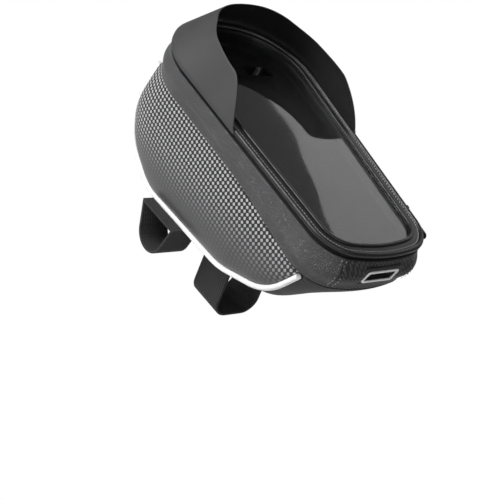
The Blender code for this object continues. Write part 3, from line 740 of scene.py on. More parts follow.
@dataclass(frozen=True)
class Finish:
    """A plain finish, and the base of the patterned ones."""

    name: str
    slot: str
    color: Triple
    roughness: float
    metallic: float = 0.0
    specular: float = 0.5

    def build(self) -> bpy.types.Material:
        """Make the material.

        Returns:
            The material, with its shader dressed by the finish's own pattern.
        """
        material = bpy.data.materials.new(self.name)
        material.use_nodes = True
        shader = material.node_tree.nodes["Principled BSDF"]
        shader.inputs["Base Color"].default_value = (*self.color, 1.0)
        shader.inputs["Roughness"].default_value = self.roughness
        shader.inputs["Metallic"].default_value = self.metallic
        shader.inputs["Specular IOR Level"].default_value = self.specular
        self.dress(NodeSheet(material.node_tree), shader)
        return material

    def dress(self, sheet: NodeSheet, shader: bpy.types.Node) -> None:
        """Add the finish's pattern to the shader. A plain finish has none."""

    def bump(self, sheet: NodeSheet, shader: bpy.types.Node, height: object, distance: float) -> None:
        """Drive the shader's normal by a height.

        Args:
            sheet: the material's sheet.
            shader: the material's shader.
            height: output that gives the height from 0 to 1.
            distance: real height of 1, in metres.
        """
        node = sheet.add("ShaderNodeBump", {"Height": height, "Distance": distance, "Strength": 1.0})
        sheet.tree.links.new(node.outputs["Normal"], shader.inputs["Normal"])


@dataclass(frozen=True)
class Leather(Finish):
    """Leather-like cloth with a fine grain."""

    grain: float = 1300.0
    depth: float = 0.00008
    mottle: float = 0.15

    def dress(self, sheet: NodeSheet, shader: bpy.types.Node) -> None:
        """Add grain and a faint mottle.

        Args:
            sheet: the material's sheet.
            shader: the material's shader.
        """
        grain = sheet.group("leather_grain", {"Vector": sheet.place(), "Scale": self.grain})
        darker = tuple(value * (1.0 - self.mottle) for value in self.color)
        color = sheet.mix(grain.outputs["Mottle"], (*darker, 1.0), (*self.color, 1.0))
        sheet.tree.links.new(color, shader.inputs["Base Color"])
        self.bump(sheet, shader, grain.outputs["Height"], self.depth)


@dataclass(frozen=True)
class Weave(Finish):
    """Woven cloth, whose threads stand out a little lighter."""

    pitch: float = 0.0012
    depth: float = 0.00012
    light: Triple = (0.06, 0.06, 0.062)

    def dress(self, sheet: NodeSheet, shader: bpy.types.Node) -> None:
        """Add the weave.

        Args:
            sheet: the material's sheet.
            shader: the material's shader.
        """
        weave = sheet.group("plain_weave", {"Vector": sheet.place(), "Pitch": self.pitch})
        color = sheet.mix(weave.outputs["Thread"], (*self.color, 1.0), (*self.light, 1.0))
        sheet.tree.links.new(color, shader.inputs["Base Color"])
        self.bump(sheet, shader, weave.outputs["Height"], self.depth)


@dataclass(frozen=True)
class Carbon(Finish):
    """Moulded side with raised lozenges and a painted highlight: up high the lozenges show lighter and the
    gaps between them darker, where the light falls, and both fade toward the foot of the bag.
    """

    pitch: float = 0.0032
    depth: float = 0.00040
    # The lozenges' light colour is partly their moulded pattern and partly painted highlight. The next five
    # sizes set how the painted highlight comes in: the rise over which it grows, its lean along y, how much
    # of it is left at the foot, and how dark the gaps between lozenges go where it is full.
    light: Triple = (0.42, 0.42, 0.43)
    sheen_low: float = 0.034
    sheen_high: float = 0.068
    sheen_lean: float = 0.2
    faintest_sheen: float = 0.06
    sheen_gap_share: float = 0.16

    def dress(self, sheet: NodeSheet, shader: bpy.types.Node) -> None:
        """Add the lozenges, their painted highlight, which fades toward the foot, and their height.

        Args:
            sheet: the material's sheet.
            shader: the material's shader.
        """
        place = sheet.place()
        dots = sheet.group("carbon_dots", {"Vector": place, "Pitch": self.pitch})
        parts = sheet.add("ShaderNodeSeparateXYZ", {"Vector": place})
        # Painted highlight: the higher on the side, the lighter the lozenges and the darker their gaps, as
        # the light falls; low down both fade to the plain grey.
        rise = sheet.math("MULTIPLY_ADD", parts.outputs["Y"], self.sheen_lean, parts.outputs["Z"])
        fade = sheet.ease(rise, self.sheen_low, self.sheen_high)
        strength = sheet.math("MULTIPLY_ADD", fade, 1.0 - self.faintest_sheen, self.faintest_sheen)
        mask = sheet.math("MULTIPLY", dots.outputs["Dot"], strength)
        gap = tuple(value * self.sheen_gap_share for value in self.color)
        ground = sheet.mix(fade, (*self.color, 1.0), (*gap, 1.0))
        color = sheet.mix(mask, ground, (*self.light, 1.0))
        sheet.tree.links.new(color, shader.inputs["Base Color"])
        self.bump(sheet, shader, mask, self.depth)


@dataclass(frozen=True)
class ClearFilm(Finish):
    """Clear soft film."""

    def dress(self, sheet: NodeSheet, shader: bpy.types.Node) -> None:
        """Let light through."""
        shader.inputs["Transmission Weight"].default_value = 1.0
        shader.inputs["IOR"].default_value = 1.45


class Finishes:
    """All the finishes of the bag, built once."""

    def __init__(self) -> None:
        """Build the shared groups and the materials."""
        build_grain_group()
        build_weave_group()
        build_dots_group()
        self.band = Leather("band_leather", "leather", grey(0.066), 0.42, grain=800.0, depth=0.00034)
        self.rim = Leather("rim_leather", "leather", grey(0.010), 0.28, grain=1600.0, depth=0.00004)
        self.visor = Leather("visor_skin", "visor_shell", grey(0.040), 0.62, grain=1500.0, depth=0.00006)
        # The visor's inside is the same skin painted darker: painted shade on the faces that look in over the
        # window.
        self.visor_inner_shade = Leather(
            "visor_inner_shade", "visor_shell", grey(0.008), 0.6, grain=1900.0, depth=0.00003
        )
        self.carbon = Carbon("side_carbon", "carbon", grey(0.050), 0.42)
        self.gusset = Weave("gusset_weave", "woven", grey(0.014), 0.6, light=grey(0.045))
        self.end_panel = Weave("end_weave", "end_panel", grey(0.015), 0.5, pitch=0.0016, depth=0.00022)
        self.lining = Weave("pocket_lining", "pocket_lining", grey(0.010), 0.7, light=grey(0.018))
        self.hinge = Weave("hinge_weave", "hinge_fabric", grey(0.012), 0.7, light=grey(0.020))
        self.zip = Weave("zip_weave", "zip", grey(0.006), 0.6, pitch=0.0008, light=grey(0.012))
        self.strap = Weave("strap_weave", "strap", grey(0.012), 0.8, pitch=0.0010, light=grey(0.035))
        self.piping = Finish("piping_white", "reflective", (0.86, 0.86, 0.86), 0.4)
        self.thread = Finish("light_thread", "leather", (0.42, 0.42, 0.42), 0.5)
        self.dark_thread = Finish("dark_thread", "woven", (0.05, 0.05, 0.052), 0.6)
        self.rubber = Finish("port_rubber", "rubber", (0.014, 0.014, 0.015), 0.5)
        self.port_frame = Finish("port_white", "port_frame", (0.84, 0.84, 0.84), 0.25)
        self.pad = Finish("pad_rubber", "pad", (0.012, 0.012, 0.013), 0.8)
        self.metal = Finish("black_metal", "slider", (0.03, 0.03, 0.032), 0.35, metallic=0.7)
        self.film = ClearFilm("clear_film", "film", (0.97, 0.97, 0.975), 0.03)
        self.made: dict[str, bpy.types.Material] = {}

    def material(self, finish: Finish) -> bpy.types.Material:
        """Material of a finish, built the first time it is asked for.

        Args:
            finish: the finish.

        Returns:
            Its material.
        """
        if finish.name not in self.made:
            self.made[finish.name] = finish.build()
        return self.made[finish.name]


@dataclass
class Bag:
    """What the sub-assemblies share: shapes, finishes and the way to the frame's place."""

    lid_shape: LidShape = field(default_factory=LidShape)
    shape: BodyShape = field(default_factory=BodyShape)

    def __post_init__(self) -> None:
        """Work out the lines that the pieces follow."""
        self.outline = LidOutline(self.lid_shape)
        self.profile = BodyProfile(self.outline, self.shape)
        self.underside = Underside(self.shape)
        self.origin = self.underside.bar_axis()
        self.finishes = Finishes()

    def add(
        self,
        name: str,
        bm: bmesh.types.BMesh,
        finishes: Finish | Sequence[Finish],
        body: Body | None,
        nodes: Sequence[str] = (),
    ) -> bpy.types.Object:
        """Finish a mesh as a piece of the object.

        Args:
            name: the piece's name.
            bm: its mesh, in the lid's frame.
            finishes: its finish or finishes.
            body: the body it rides on, or none for a piece that rides on no body.
            nodes: frame nodes that it stands for.

        Returns:
            The piece.
        """
        bmesh.ops.translate(bm, verts=bm.verts, vec=-self.origin)
        mesh = bpy.data.meshes.new(name)
        bm.to_mesh(mesh)
        bm.free()
        several = [finishes] if isinstance(finishes, Finish) else list(finishes)
        for finish in several:
            mesh.materials.append(self.finishes.material(finish))
        mesh.shade_smooth()
        mesh.set_sharp_from_angle(angle=SHARP_ANGLE)
        item = bpy.data.objects.new(name, mesh)
        bpy.context.collection.objects.link(item)
        if body is not None:
            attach(item, body.value)
        if nodes:
            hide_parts(*nodes)
        LOG.info("%s: %d faces", name, len(mesh.polygons))
        return item

    def cut(self, item: bpy.types.Object, hole: bmesh.types.BMesh, body: Body, solver: Solver) -> None:
        """Cut a hole in a piece.

        Args:
            item: the piece.
            hole: what is taken away, in the lid's frame.
            body: body that the piece rides on.
            solver: solver of the cut.
        """
        cutter = self.add(f"{item.name}_cutter", hole, self.finishes.rubber, body)
        mod = item.modifiers.new("hole", "BOOLEAN")
        mod.operation = "DIFFERENCE"
        mod.solver = solver.value
        mod.object = cutter
        bpy.context.view_layer.objects.active = item
        bpy.ops.object.modifier_apply(modifier=mod.name)
        bpy.data.objects.remove(cutter, do_unlink=True)


@dataclass
class Mouth:
    """Band round the mouth, the panel at the rear end, their seam and the cable port."""

    bag: Bag
    wall: float = 0.0025
    lip: float = 0.0009
    lip_roll: float = 0.0003
    foot_roll: float = 0.0004
    side_bulge: float = 0.0018
    corner_bulge: float = 0.0026
    corner_end: float = 0.085
    corner_fade: float = 0.035
    port_arc: float = 0.0014
    port_z: float = -0.0127
    port_size: Flat = (0.0330, 0.0145)
    port_corner: float = 0.0035
    port_skew: float = 0.0046
    frame_size: Flat = (0.0270, 0.0094)
    frame_corner: float = 0.0022
    frame_width: float = 0.0015
    inner_corner: float = 0.0013
    slit_size: Flat = (0.0190, 0.0046)
    slit_corner: float = 0.0009
    flap_thickness: float = 0.0016
    seam_offset: float = 0.0016
    stitch_pitch: float = 0.0026

    def build(self) -> None:
        """Build the band, the panel and the port."""
        finishes = self.bag.finishes
        outline = self.bag.outline
        start = self.bag.shape.panel_reach + GAP / 2
        band = outline_sweep(outline, self.section, start, outline.length - start, 320)
        darken_top(band, -self.bag.shape.half_groove)
        self.bag.add("band", band, [finishes.band, finishes.zip], Body.BAG, ["upper_band"])
        self.build_panel()
        self.build_seams()
        self.build_port()

    def bulge(self, run: float, share: float) -> float:
        """How far the wall stands out.

        Args:
            run: run along the outline.
            share: share of the way from the groove down to the band's foot.

        Returns:
            The bulge in metres.
        """
        whole = self.bag.outline.length
        from_rear = min(run % whole, whole - run % whole)
        corner = smooth_step(from_rear / self.corner_fade)
        corner *= smooth_step((self.corner_end - from_rear) / self.corner_fade)
        amount = self.side_bulge + self.corner_bulge * corner
        return amount * math.sin(math.pi * share) ** 2

    def section(self, run: float, y: float) -> list[Flat]:
        """Section of the band: a soft outer face, a rolled edge at the groove and a flat inner face.

        Args:
            run: run along the outline.
            y: y of the outline there.

        Returns:
            Its (inset, z) corners.
        """
        low = -self.bag.shape.band_depth(y)
        high = -self.bag.shape.half_groove
        rows = 14
        points = [(self.lip, high), (self.lip_roll, high - self.lip_roll)]
        for row in range(rows + 1):
            share = row / rows
            z = high - self.lip + (low + self.foot_roll - high + self.lip) * share
            points.append((-self.bulge(run, share), z))
        points += [(self.foot_roll, low), (self.wall, low), (self.wall, high)]
        return points

    def build_panel(self) -> None:
        """Panel at the rear end, with the hole for the cable port."""
        reach = self.bag.shape.panel_reach - GAP / 2
        panel = outline_sweep(self.bag.outline, self.section, -reach, reach, 60)
        darken_top(panel, -self.bag.shape.half_groove)
        cloths = [self.bag.finishes.end_panel, self.bag.finishes.zip]
        item = self.bag.add("end_cloth", panel, cloths, Body.BAG, ["end_panel"])
        hole = prism(self.skewed(self.frame_size, self.frame_corner), -0.005, 0.004, self.port_place, 8)
        self.bag.cut(item, hole, Body.BAG, Solver.EXACT)

    def build_seams(self) -> None:
        """Stitches up both edges of the panel at the rear end."""
        outline = self.bag.outline
        places = []
        for side in Side:
            for beside in (-self.seam_offset, self.seam_offset):
                run = side.value * (self.bag.shape.panel_reach + beside)
                depth = self.bag.shape.band_depth(outline.at(run % outline.length).y)
                for index in range(int((depth - 0.004) / self.stitch_pitch)):
                    z = -0.0035 - index * self.stitch_pitch
                    share = (-z - self.bag.shape.half_groove - self.lip) / depth
                    flat = outline.offset(run, -self.bulge(run, share) - 0.0001)
                    places.append((raised(flat, z), UP))
        self.bag.add("panel_stitches", stitches(places, 0.0015), self.bag.finishes.thread, Body.BAG)

    def skewed(self, size: Flat, radius: float) -> list[Flat]:
        """Rounded parallelogram with the port's lean.

        Args:
            size: length and height.
            radius: corner radius.

        Returns:
            Its points.
        """
        length, height = size
        lean = self.port_skew / 2 * height / self.port_size[1]
        corners = [
            (length / 2 - lean, -height / 2, radius),
            (length / 2 + lean, height / 2, radius),
            (-length / 2 + lean, height / 2, radius),
            (-length / 2 - lean, -height / 2, radius),
        ]
        return rounded_outline(corners, 6)

    def port_place(self, a: float, b: float, level: float) -> Vector:
        """Place on the end panel: a along it, b up it and level outward."""
        return raised(self.bag.outline.offset(self.port_arc + a, -level), self.port_z + b)

    def ring(
        self, outer: list[Flat], inner: list[Flat], low: float, high: float, round_off: float
    ) -> bmesh.types.BMesh:
        """Ring between two outlines that have as many points each.

        Args:
            outer: outer outline.
            inner: inner outline.
            low: lower level.
            high: upper level.
            round_off: how far the upper edges are rounded.

        Returns:
            The closed mesh.
        """
        count = len(outer)
        quarter = arc_angles(0.0, math.pi / 2, 5)

        def section(column: int) -> list[Vector]:
            """Place the ring's section.

            Args:
                column: number of the outline's point at which it stands.

            Returns:
                Its points.
            """
            out = Vector(outer[column])
            inside = Vector(inner[column])
            toward = (inside - out).normalized()
            points = [self.port_place(*out, low)]
            for angle in quarter:
                flat = out + toward * round_off * (1.0 - math.cos(angle))
                points.append(self.port_place(*flat, high - round_off * (1.0 - math.sin(angle))))
            for angle in quarter:
                flat = inside - toward * round_off * (1.0 - math.sin(angle))
                points.append(self.port_place(*flat, high - round_off * (1.0 - math.cos(angle))))
            points.append(self.port_place(*inside, low))
            return points

        sections = [section(column) for column in range(count)]
        rows = len(sections[0])
        bm = mapped_grid(count, rows, lambda column, row: sections[column % count][row % rows])
        turn_outward(bm)
        return bm

    def build_port(self) -> None:
        """Rubber surround, raised frame and slotted flap."""
        finishes = self.bag.finishes
        length, height = self.frame_size
        inner_size = (length - 2 * self.frame_width, height - 2 * self.frame_width)
        outer = self.skewed(self.port_size, self.port_corner)
        frame_outer = self.skewed(self.frame_size, self.frame_corner)
        inner = self.skewed(inner_size, self.inner_corner)
        surround = self.ring(outer, inner, GAP, GAP + 0.0017, 0.0008)
        self.bag.add("port_ring", surround, finishes.rubber, Body.BAG, ["port_surround"])
        border = self.ring(frame_outer, inner, 0.0021, 0.0029, 0.0003)
        self.bag.add("port_border", border, finishes.port_frame, Body.BAG, ["port_frame"])
        flap_outer = self.skewed((length - 2 * GAP, height - 2 * GAP), self.frame_corner)
        slit = rounded_rectangle(*self.slit_size, self.slit_corner)
        flap = self.ring(flap_outer, slit, -self.flap_thickness, 0.0, 0.0003)
        self.bag.add("port_lip", flap, finishes.rubber, Body.BAG, ["port_flap"])


@dataclass
class Shell:
    """Moulded side shells between the band and the piping."""

    bag: Bag
    wall: float = 0.0024
    bulge: float = 0.0110
    full_height: float = 0.055
    level_height: float = 0.025
    end_clear: float = 0.0020
    least_inward: float = 0.2
    columns: int = 150
    rows: int = 40

    def build(self) -> None:
        """Build both shells."""
        outer = self.surface()
        inner = self.inside(outer)
        both = [self.bag.finishes.carbon, self.bag.finishes.lining]
        for side in Side:
            name = side.name.lower()

            def section(column: int, sign: float = side.value) -> list[Vector]:
                """Ring of the shell at a column."""
                ring = list(outer[column]) + list(inner[column][::-1])
                return [Vector((sign * x, y, z)) for x, y, z in ring]

            def lined(face: bmesh.types.BMFace, sign: float = side.value) -> bool:
                """Whether a face looks into the bag."""
                return face.normal.x * sign < -self.least_inward

            bm = section_sweep(self.columns, section)
            give_second(bm, lined)
            self.bag.add(f"carbon_{name}", bm, both, Body.BAG, [f"side_shell_{name}"])

    def surface(self) -> np.ndarray:
        """Outer face of the right shell.

        Returns:
            Grid of points, from the piping up to the band.
        """
        bag = self.bag
        shape = bag.shape
        clear = shape.piping_radius + 1.5 * GAP
        top_x = shape.piping_half_span + 2 * GAP
        front = bag.outline.run_at_x(top_x, True)
        rear = bag.outline.run_at_x(top_x, False)
        points = np.zeros((self.columns + 1, self.rows + 1, 3))
        for column in range(self.columns + 1):
            share = column / self.columns
            run = clear + (bag.profile.length - 2 * clear) * share
            low = bag.profile.at(run)
            along = bag.profile.way(run)
            foot = np.array((shape.piping_half_span, low.x, low.y))
            high = bag.outline.at(front + (rear - front) * share)
            top = np.array((high.x, high.y, -shape.band_depth(high.y) - GAP / 3))
            height = np.linalg.norm(top - foot)
            toward = (top - foot) / height
            full = min(height / self.full_height, 1.0)
            away = toward + np.array((0.5, 0.0, 0.0))
            away = away - np.array((0.0, along.x, along.y)) * (away[1] * along.x + away[2] * along.y)
            foot = foot + away / np.linalg.norm(away) * clear
            upper = top - toward * height * 0.33 * (1.0 - full)
            upper = upper + np.array((0.0015, 0.0, -0.36 * height)) * full
            lower = foot + toward * height * 0.24 + np.array((self.bulge * full, 0.0, 0.0))
            for row in range(self.rows + 1):
                a = row / self.rows
                b = 1.0 - a
                weights = (b**3, 3 * b * b * a, 3 * b * a * a, a**3)
                points[column, row] = sum(w * p for w, p in zip(weights, (foot, lower, upper, top)))
        return points

    def inside(self, points: np.ndarray) -> np.ndarray:
        """Inner face, kept clear of the piping and level along the band.

        Args:
            points: the outer face.

        Returns:
            Grid of points of the inner face.
        """
        bag = self.bag
        span = bag.shape.piping_half_span
        normals = np.cross(np.gradient(points, axis=0), np.gradient(points, axis=1))
        normals[:, -1, 2] = 0.0
        normals /= np.linalg.norm(normals, axis=2, keepdims=True)
        normals *= np.sign(normals[:, :, :1].mean())
        heights = np.linalg.norm(points[:, -1] - points[:, 0], axis=1)
        level = np.clip(1.0 - heights / self.level_height, 0.0, 1.0)[:, None, None]
        normals = normals * (1.0 - level) + normals[:, -1:] * level
        normals /= np.linalg.norm(normals, axis=2, keepdims=True)
        inner = points - normals * self.wall
        samples = [bag.profile.at(run) for run in np.linspace(0.0, bag.profile.length, 400)]
        line = np.array([(span, point.x, point.y) for point in samples])
        columns, rows = inner.shape[:2]
        for column in range(columns):
            to_end = min(column, columns - 1 - column)
            clear = bag.shape.piping_radius + 1.5 * GAP + self.end_clear * max(1.0 - to_end / 16.0, 0.0)
            for row in range(rows - 1):
                away = inner[column, row] - line
                reach = np.linalg.norm(away, axis=1)
                nearest = int(np.argmin(reach))
                if reach[nearest] < clear:
                    inner[column, row] += away[nearest] / reach[nearest] * (clear - reach[nearest])
        inner[:, :, 0] = np.maximum(inner[:, :, 0], span - bag.shape.piping_radius)
        inner[:, :, 2] = np.minimum(inner[:, :, 2], points[:, -1:, 2])
        return inner


@dataclass
class Keel:
    """Front and bottom strip between the pipings, with both pipings and their seams."""

    bag: Bag
    wall: float = 0.0022
    front_crown: float = 0.0050
    rear_crown: float = 0.0085
    end_bow_reach: float = 0.034
    level_reach: float = 0.012
    stitch_pitch: float = 0.0030
    stitch_share: float = 0.955
    proud: float = 0.0004
    roll: float = 0.0020

    def build(self) -> None:
        """Build the strip, the pipings and the stitches."""
        columns = 200
        strips = 36
        shares = [strip / strips * 2.0 - 1.0 for strip in range(strips + 1)]

        def section(column: int) -> list[Vector]:
            """Ring of the strip.

            Args:
                column: column at which it stands.

            Returns:
                Its points.
            """
            run = self.bag.profile.length * column / columns
            outer = [self.point(share, run, 0.0) for share in shares]
            return outer + [self.point(share, run, self.wall) for share in reversed(shares)]

        strip = section_sweep(columns, section)
        self.bag.add("keel_strip", strip, self.bag.finishes.gusset, Body.BAG, ["spine_gusset"])
        self.build_piping()
        self.build_stitches()

    def point(self, across: float, run: float, depth: float) -> Vector:
        """Point of the strip.

        Args:
            across: from -1 to 1 over its width.
            run: run along the side profile.
            depth: depth inside its outer face.

        Returns:
            The point, in the lid's frame.
        """
        shape = self.bag.shape
        outline = self.bag.outline
        profile = self.bag.profile
        x = (shape.piping_half_span - shape.piping_radius - GAP) * across
        base = profile.at(run)
        outward = profile.outward(run)
        to_end = profile.length - run
        bow = outline.end_y(x, True) - outline.end_y(shape.piping_half_span, True)
        forward = bow * smooth_step(1.0 - run / self.end_bow_reach)
        bow = outline.end_y(shape.piping_half_span, False) - outline.end_y(x, False)
        forward -= bow * smooth_step(1.0 - to_end / self.end_bow_reach)
        share = min(run / profile.flat_start, to_end / (profile.length - profile.flat_end), 1.0)
        crown = self.front_crown if run < to_end else self.rear_crown
        crown *= (1.0 - across**6) * math.sin(math.pi * share) ** 2
        level = smooth_step(1.0 - min(run, to_end) / self.level_reach)
        ahead = Vector((1.0 if run < to_end else -1.0, 0.0))
        inward = (outward * (1.0 - level) + ahead * level).normalized() * -depth
        flat = base + outward * crown + inward
        return Vector((x, flat.x + forward, flat.y))

    def build_piping(self) -> None:
        """White piping in both seams."""
        shape = self.bag.shape
        profile = self.bag.profile
        columns = 240
        sides = 18
        length = profile.length - 2 * shape.piping_start
        for side in Side:

            def section(column: int, sign: float = side.value) -> list[Vector]:
                """Round section of the piping.

                Args:
                    column: column at which it stands.
                    sign: sign of X on its side.

                Returns:
                    Its points.
                """
                run = shape.piping_start + length * column / columns
                middle = profile.at(run)
                outward = profile.outward(run)
                points = []
                for step in range(sides):
                    angle = 2 * math.pi * step / sides
                    flat = middle + outward * (self.proud + self.roll * math.sin(angle))
                    x = sign * (shape.piping_half_span + self.proud + self.roll * math.cos(angle))
                    points.append(Vector((x, flat.x, flat.y)))
                return points

            name = side.name.lower()
            bm = section_sweep(columns, section)
            node = f"reflective_piping_{name}"
            self.bag.add(f"piping_{name}", bm, self.bag.finishes.piping, Body.BAG, [node])

    def build_stitches(self) -> None:
        """Dark stitches along the strip, just inside each piping."""
        margin = 0.006
        depth = -0.00005
        places = []
        count = int((self.bag.profile.length - 2 * margin) / self.stitch_pitch)
        for side in Side:
            across = side.value * self.stitch_share
            for index in range(count):
                run = margin + index * self.stitch_pitch
                here = self.point(across, run, depth)
                places.append((here, self.point(across, run + 0.001, depth) - here))
        self.bag.add("keel_stitches", stitches(places, 0.0018), self.bag.finishes.dark_thread, Body.BAG)


@dataclass
class ZipTrack:
    """Both halves of the zip, their teeth, the hinge strip and the slider."""

    bag: Bag
    tape_inset: float = 0.0028
    tape_thickness: float = 0.0010
    tape_depth: float = 0.0090
    tape_top: float = 0.0017
    tooth_inset: float = 0.0020
    chain_half: float = 0.0011
    chain_gap: float = 0.0002
    tooth_pitch: float = 0.0018
    tooth_level: float = 0.00065

    def build(self) -> None:
        """Build the tapes, teeth and hinge strip, and finish the slider."""
        outline = self.bag.outline
        finishes = self.bag.finishes
        inner = self.tape_inset + self.tape_thickness
        start = self.bag.shape.panel_reach + GAP / 2
        end = outline.length - start
        for name, node, sign, edge, body in (
            ("zip_low", "zip_tape_lower", -1.0, self.tape_depth, Body.BAG),
            ("zip_high", "zip_tape_upper", 1.0, self.tape_top, Body.LID),
        ):
            corners = [
                (inner, edge), (self.tape_inset, edge), (self.tape_inset, self.chain_half),
                (self.tooth_inset, self.chain_half), (self.tooth_inset, self.chain_gap),
                (inner, self.chain_gap),
            ]
            section = [(inset, sign * level) for inset, level in corners]
            tape = outline_sweep(outline, steady(section), start, end, 220)
            self.bag.add(name, tape, finishes.zip, body, [node])
        self.build_teeth(start, end)
        self.build_hinge(inner)
        for node in ("zip_slider", "zip_puller"):
            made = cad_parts[node]
            made.data.materials.clear()
            made.data.materials.append(finishes.material(finishes.metal))

    def build_teeth(self, start: float, end: float) -> None:
        """Teeth on the outer edge of each chain.

        Args:
            start: run at which they start.
            end: run at which they end.
        """
        margin = 0.002
        for name, sign, body in (("teeth_low", -1.0, Body.BAG), ("teeth_high", 1.0, Body.LID)):
            places = []
            for index in range(int((end - start - 2 * margin) / self.tooth_pitch)):
                flat = self.bag.outline.offset(start + margin + index * self.tooth_pitch, self.tooth_inset)
                places.append((raised(flat, sign * self.tooth_level), UP))
            row = stitches(places, 0.0008, 0.00035)
            self.bag.add(name, row, self.bag.finishes.zip, body)

    def build_hinge(self, inner: float) -> None:
        """Cloth strip at the rear end, across the parting of the lid, left on no body.

        Args:
            inner: inset of its inner face.
        """
        reach = self.bag.shape.panel_reach - GAP / 2
        rows = 14
        low = -self.tape_depth
        high = self.tape_top
        levels = [low + (high - low) * row / rows for row in range(rows + 1)]
        section = [(self.tape_inset, z) for z in levels] + [(inner, z) for z in reversed(levels)]
        strip = outline_sweep(self.bag.outline, steady(section), -reach, reach, 60)
        item = self.bag.add("hinge_cloth", strip, self.bag.finishes.hinge, None, ["hinge_strip"])
        axis = Vector((0.0, self.bag.outline.at(0.0).y, 0.0)) - self.bag.origin
        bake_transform(item)


@dataclass
class Lid:
    """Rim of the lid with its stitches, the window and the pocket behind it."""

    bag: Bag
    rim_height: float = 0.0044
    bead: float = 0.0032
    wall: float = 0.0025
    flange: float = 0.0104
    flange_top: float = 0.0033
    flange_thickness: float = 0.0013
    binding_inset: float = 0.0076
    binding_width: float = 0.0026
    binding_height: float = 0.0010
    film_inset: float = 0.0080
    film_thickness: float = 0.0006
    film_dome: float = 0.0004
    pocket_depth: float = 0.0096
    pocket_wall: float = 0.0012
    pocket_inset: float = 0.0084
    slot_size: Flat = (0.0720, 0.0100)
    slot_y: float = 0.0780
    tab_size: Flat = (0.0260, 0.0300)
    stitch_pitch: float = 0.0024

    def build(self) -> None:
        """Build the rim, the window and the pocket."""
        self.build_rim()
        self.build_binding()
        self.build_film()
        self.build_pocket()

    def build_rim(self) -> None:
        """Rolled rim with a flange round the window."""
        low = self.bag.shape.half_groove
        under = self.flange_top - self.flange_thickness
        radius = self.bead / 2
        middle = self.rim_height - radius
        points = [(0.0003, low), (0.0, low + 0.0004)]
        for angle in arc_angles(0.0, math.pi, 12):
            z = middle + radius * math.sin(angle)
            if angle > math.pi / 2:
                z = max(z, self.flange_top - 0.0003)
            points.append((radius - radius * math.cos(angle), z))
        points += [(self.bead + 0.0004, self.flange_top - 0.0003), (self.bead + 0.0011, self.flange_top)]
        points += [(self.flange, self.flange_top), (self.flange, under), (self.wall, under), (self.wall, low)]
        whole = self.bag.outline.length
        rim = outline_sweep(self.bag.outline, steady(points), 0.0, whole, 360)
        self.bag.add("rim_roll", rim, self.bag.finishes.rim, Body.LID, ["lid_rim"])
        places = []
        count = int(whole / self.stitch_pitch)
        inset = self.bead + 0.0008
        for index in range(count):
            run = whole * index / count
            here = self.bag.outline.offset(run, inset)
            after = self.bag.outline.offset(run + 0.001, inset)
            places.append((raised(here, self.flange_top + 0.00002), raised(after - here, 0.0)))
        self.bag.add("rim_stitches", stitches(places, 0.0016), self.bag.finishes.thread, Body.LID)

    def build_binding(self) -> None:
        """Raised ridge round the window."""
        base = self.flange_top + GAP
        points = [(self.binding_inset, base)]
        for angle in arc_angles(0.0, math.pi, 8):
            inset = self.binding_inset + self.binding_width / 2 * (1.0 - math.cos(angle))
            points.append((inset, base + 0.0001 + (self.binding_height - 0.0001) * math.sin(angle)))
        points.append((self.binding_inset + self.binding_width, base))
        whole = self.bag.outline.length
        ridge = outline_sweep(self.bag.outline, steady(points), 0.0, whole, 320)
        self.bag.add("window_ridge", ridge, self.bag.finishes.rim, Body.LID, ["window_binding"])

    def disc(self, levels: Sequence[Triple], columns: int) -> bmesh.types.BMesh:
        """Closed body inside the outline.

        Args:
            levels: inset, share of the way out and z of each ring, out from the middle and back.
            columns: stretches round the outline.

        Returns:
            The closed mesh.
        """
        whole = self.bag.outline.length

        def place(column: int, row: int) -> Vector:
            """Corner of the disc, on the ring of its row."""
            inset, share, z = levels[row]
            return raised(self.bag.outline.offset(whole * column / columns, inset) * share, z)

        bm = mapped_grid(columns, len(levels) - 1, place)
        turn_outward(bm)
        return bm

    def build_film(self) -> None:
        """Clear film, domed and a little uneven."""
        edge_z = self.flange_top - self.flange_thickness - GAP
        rings = 40
        shares = [ring / rings for ring in range(rings + 1)]
        levels = [(self.film_inset, share, edge_z + self.film_dome * (1.0 - share**2)) for share in shares]
        levels += [(inset, share, z - self.film_thickness) for inset, share, z in reversed(levels)]
        film = self.disc(levels, 96)
        for vert in film.verts:
            x, y, _ = vert.co
            wave = math.sin(x * 95.0 + y * 22.0) * math.sin(y * 61.0 + 1.3)
            wave += 0.5 * math.sin(x * 170.0 - y * 90.0)
            edge = smooth_step((0.045 - abs(x)) / 0.020) * smooth_step((0.105 - abs(y)) / 0.03)
            vert.co.z += 0.00003 * wave * edge
        self.bag.add("window_clear", film, self.bag.finishes.film, Body.LID, ["window_film"])

    def build_pocket(self) -> None:
        """Backing tray behind the window, with its mouth and closing tab."""
        top = self.flange_top - self.flange_thickness - 2 * GAP - self.film_thickness
        floor = top - self.pocket_depth
        outer = self.pocket_inset - self.pocket_wall
        base = floor - self.pocket_wall
        levels = [(self.pocket_inset, share, floor) for share in (0.0, 0.3, 0.6, 0.9, 0.97)]
        levels += [(self.pocket_inset, 0.99, floor + 0.0004), (self.pocket_inset, 1.0, floor + 0.0016)]
        levels += [(self.pocket_inset, 1.0, top), (outer, 1.0, top), (outer, 1.0, base + 0.0016)]
        levels += [(outer, 0.99, base + 0.0004)]
        levels += [(outer, share, base) for share in (0.97, 0.9, 0.6, 0.3, 0.0)]
        tray = self.disc(levels, 200)
        item = self.bag.add("pocket_tray", tray, self.bag.finishes.lining, Body.LID, ["phone_pocket"])

        def flat(a: float, b: float, level: float) -> Vector:
            """Place in the pocket's floor."""
            return Vector((a, b + self.slot_y, level))

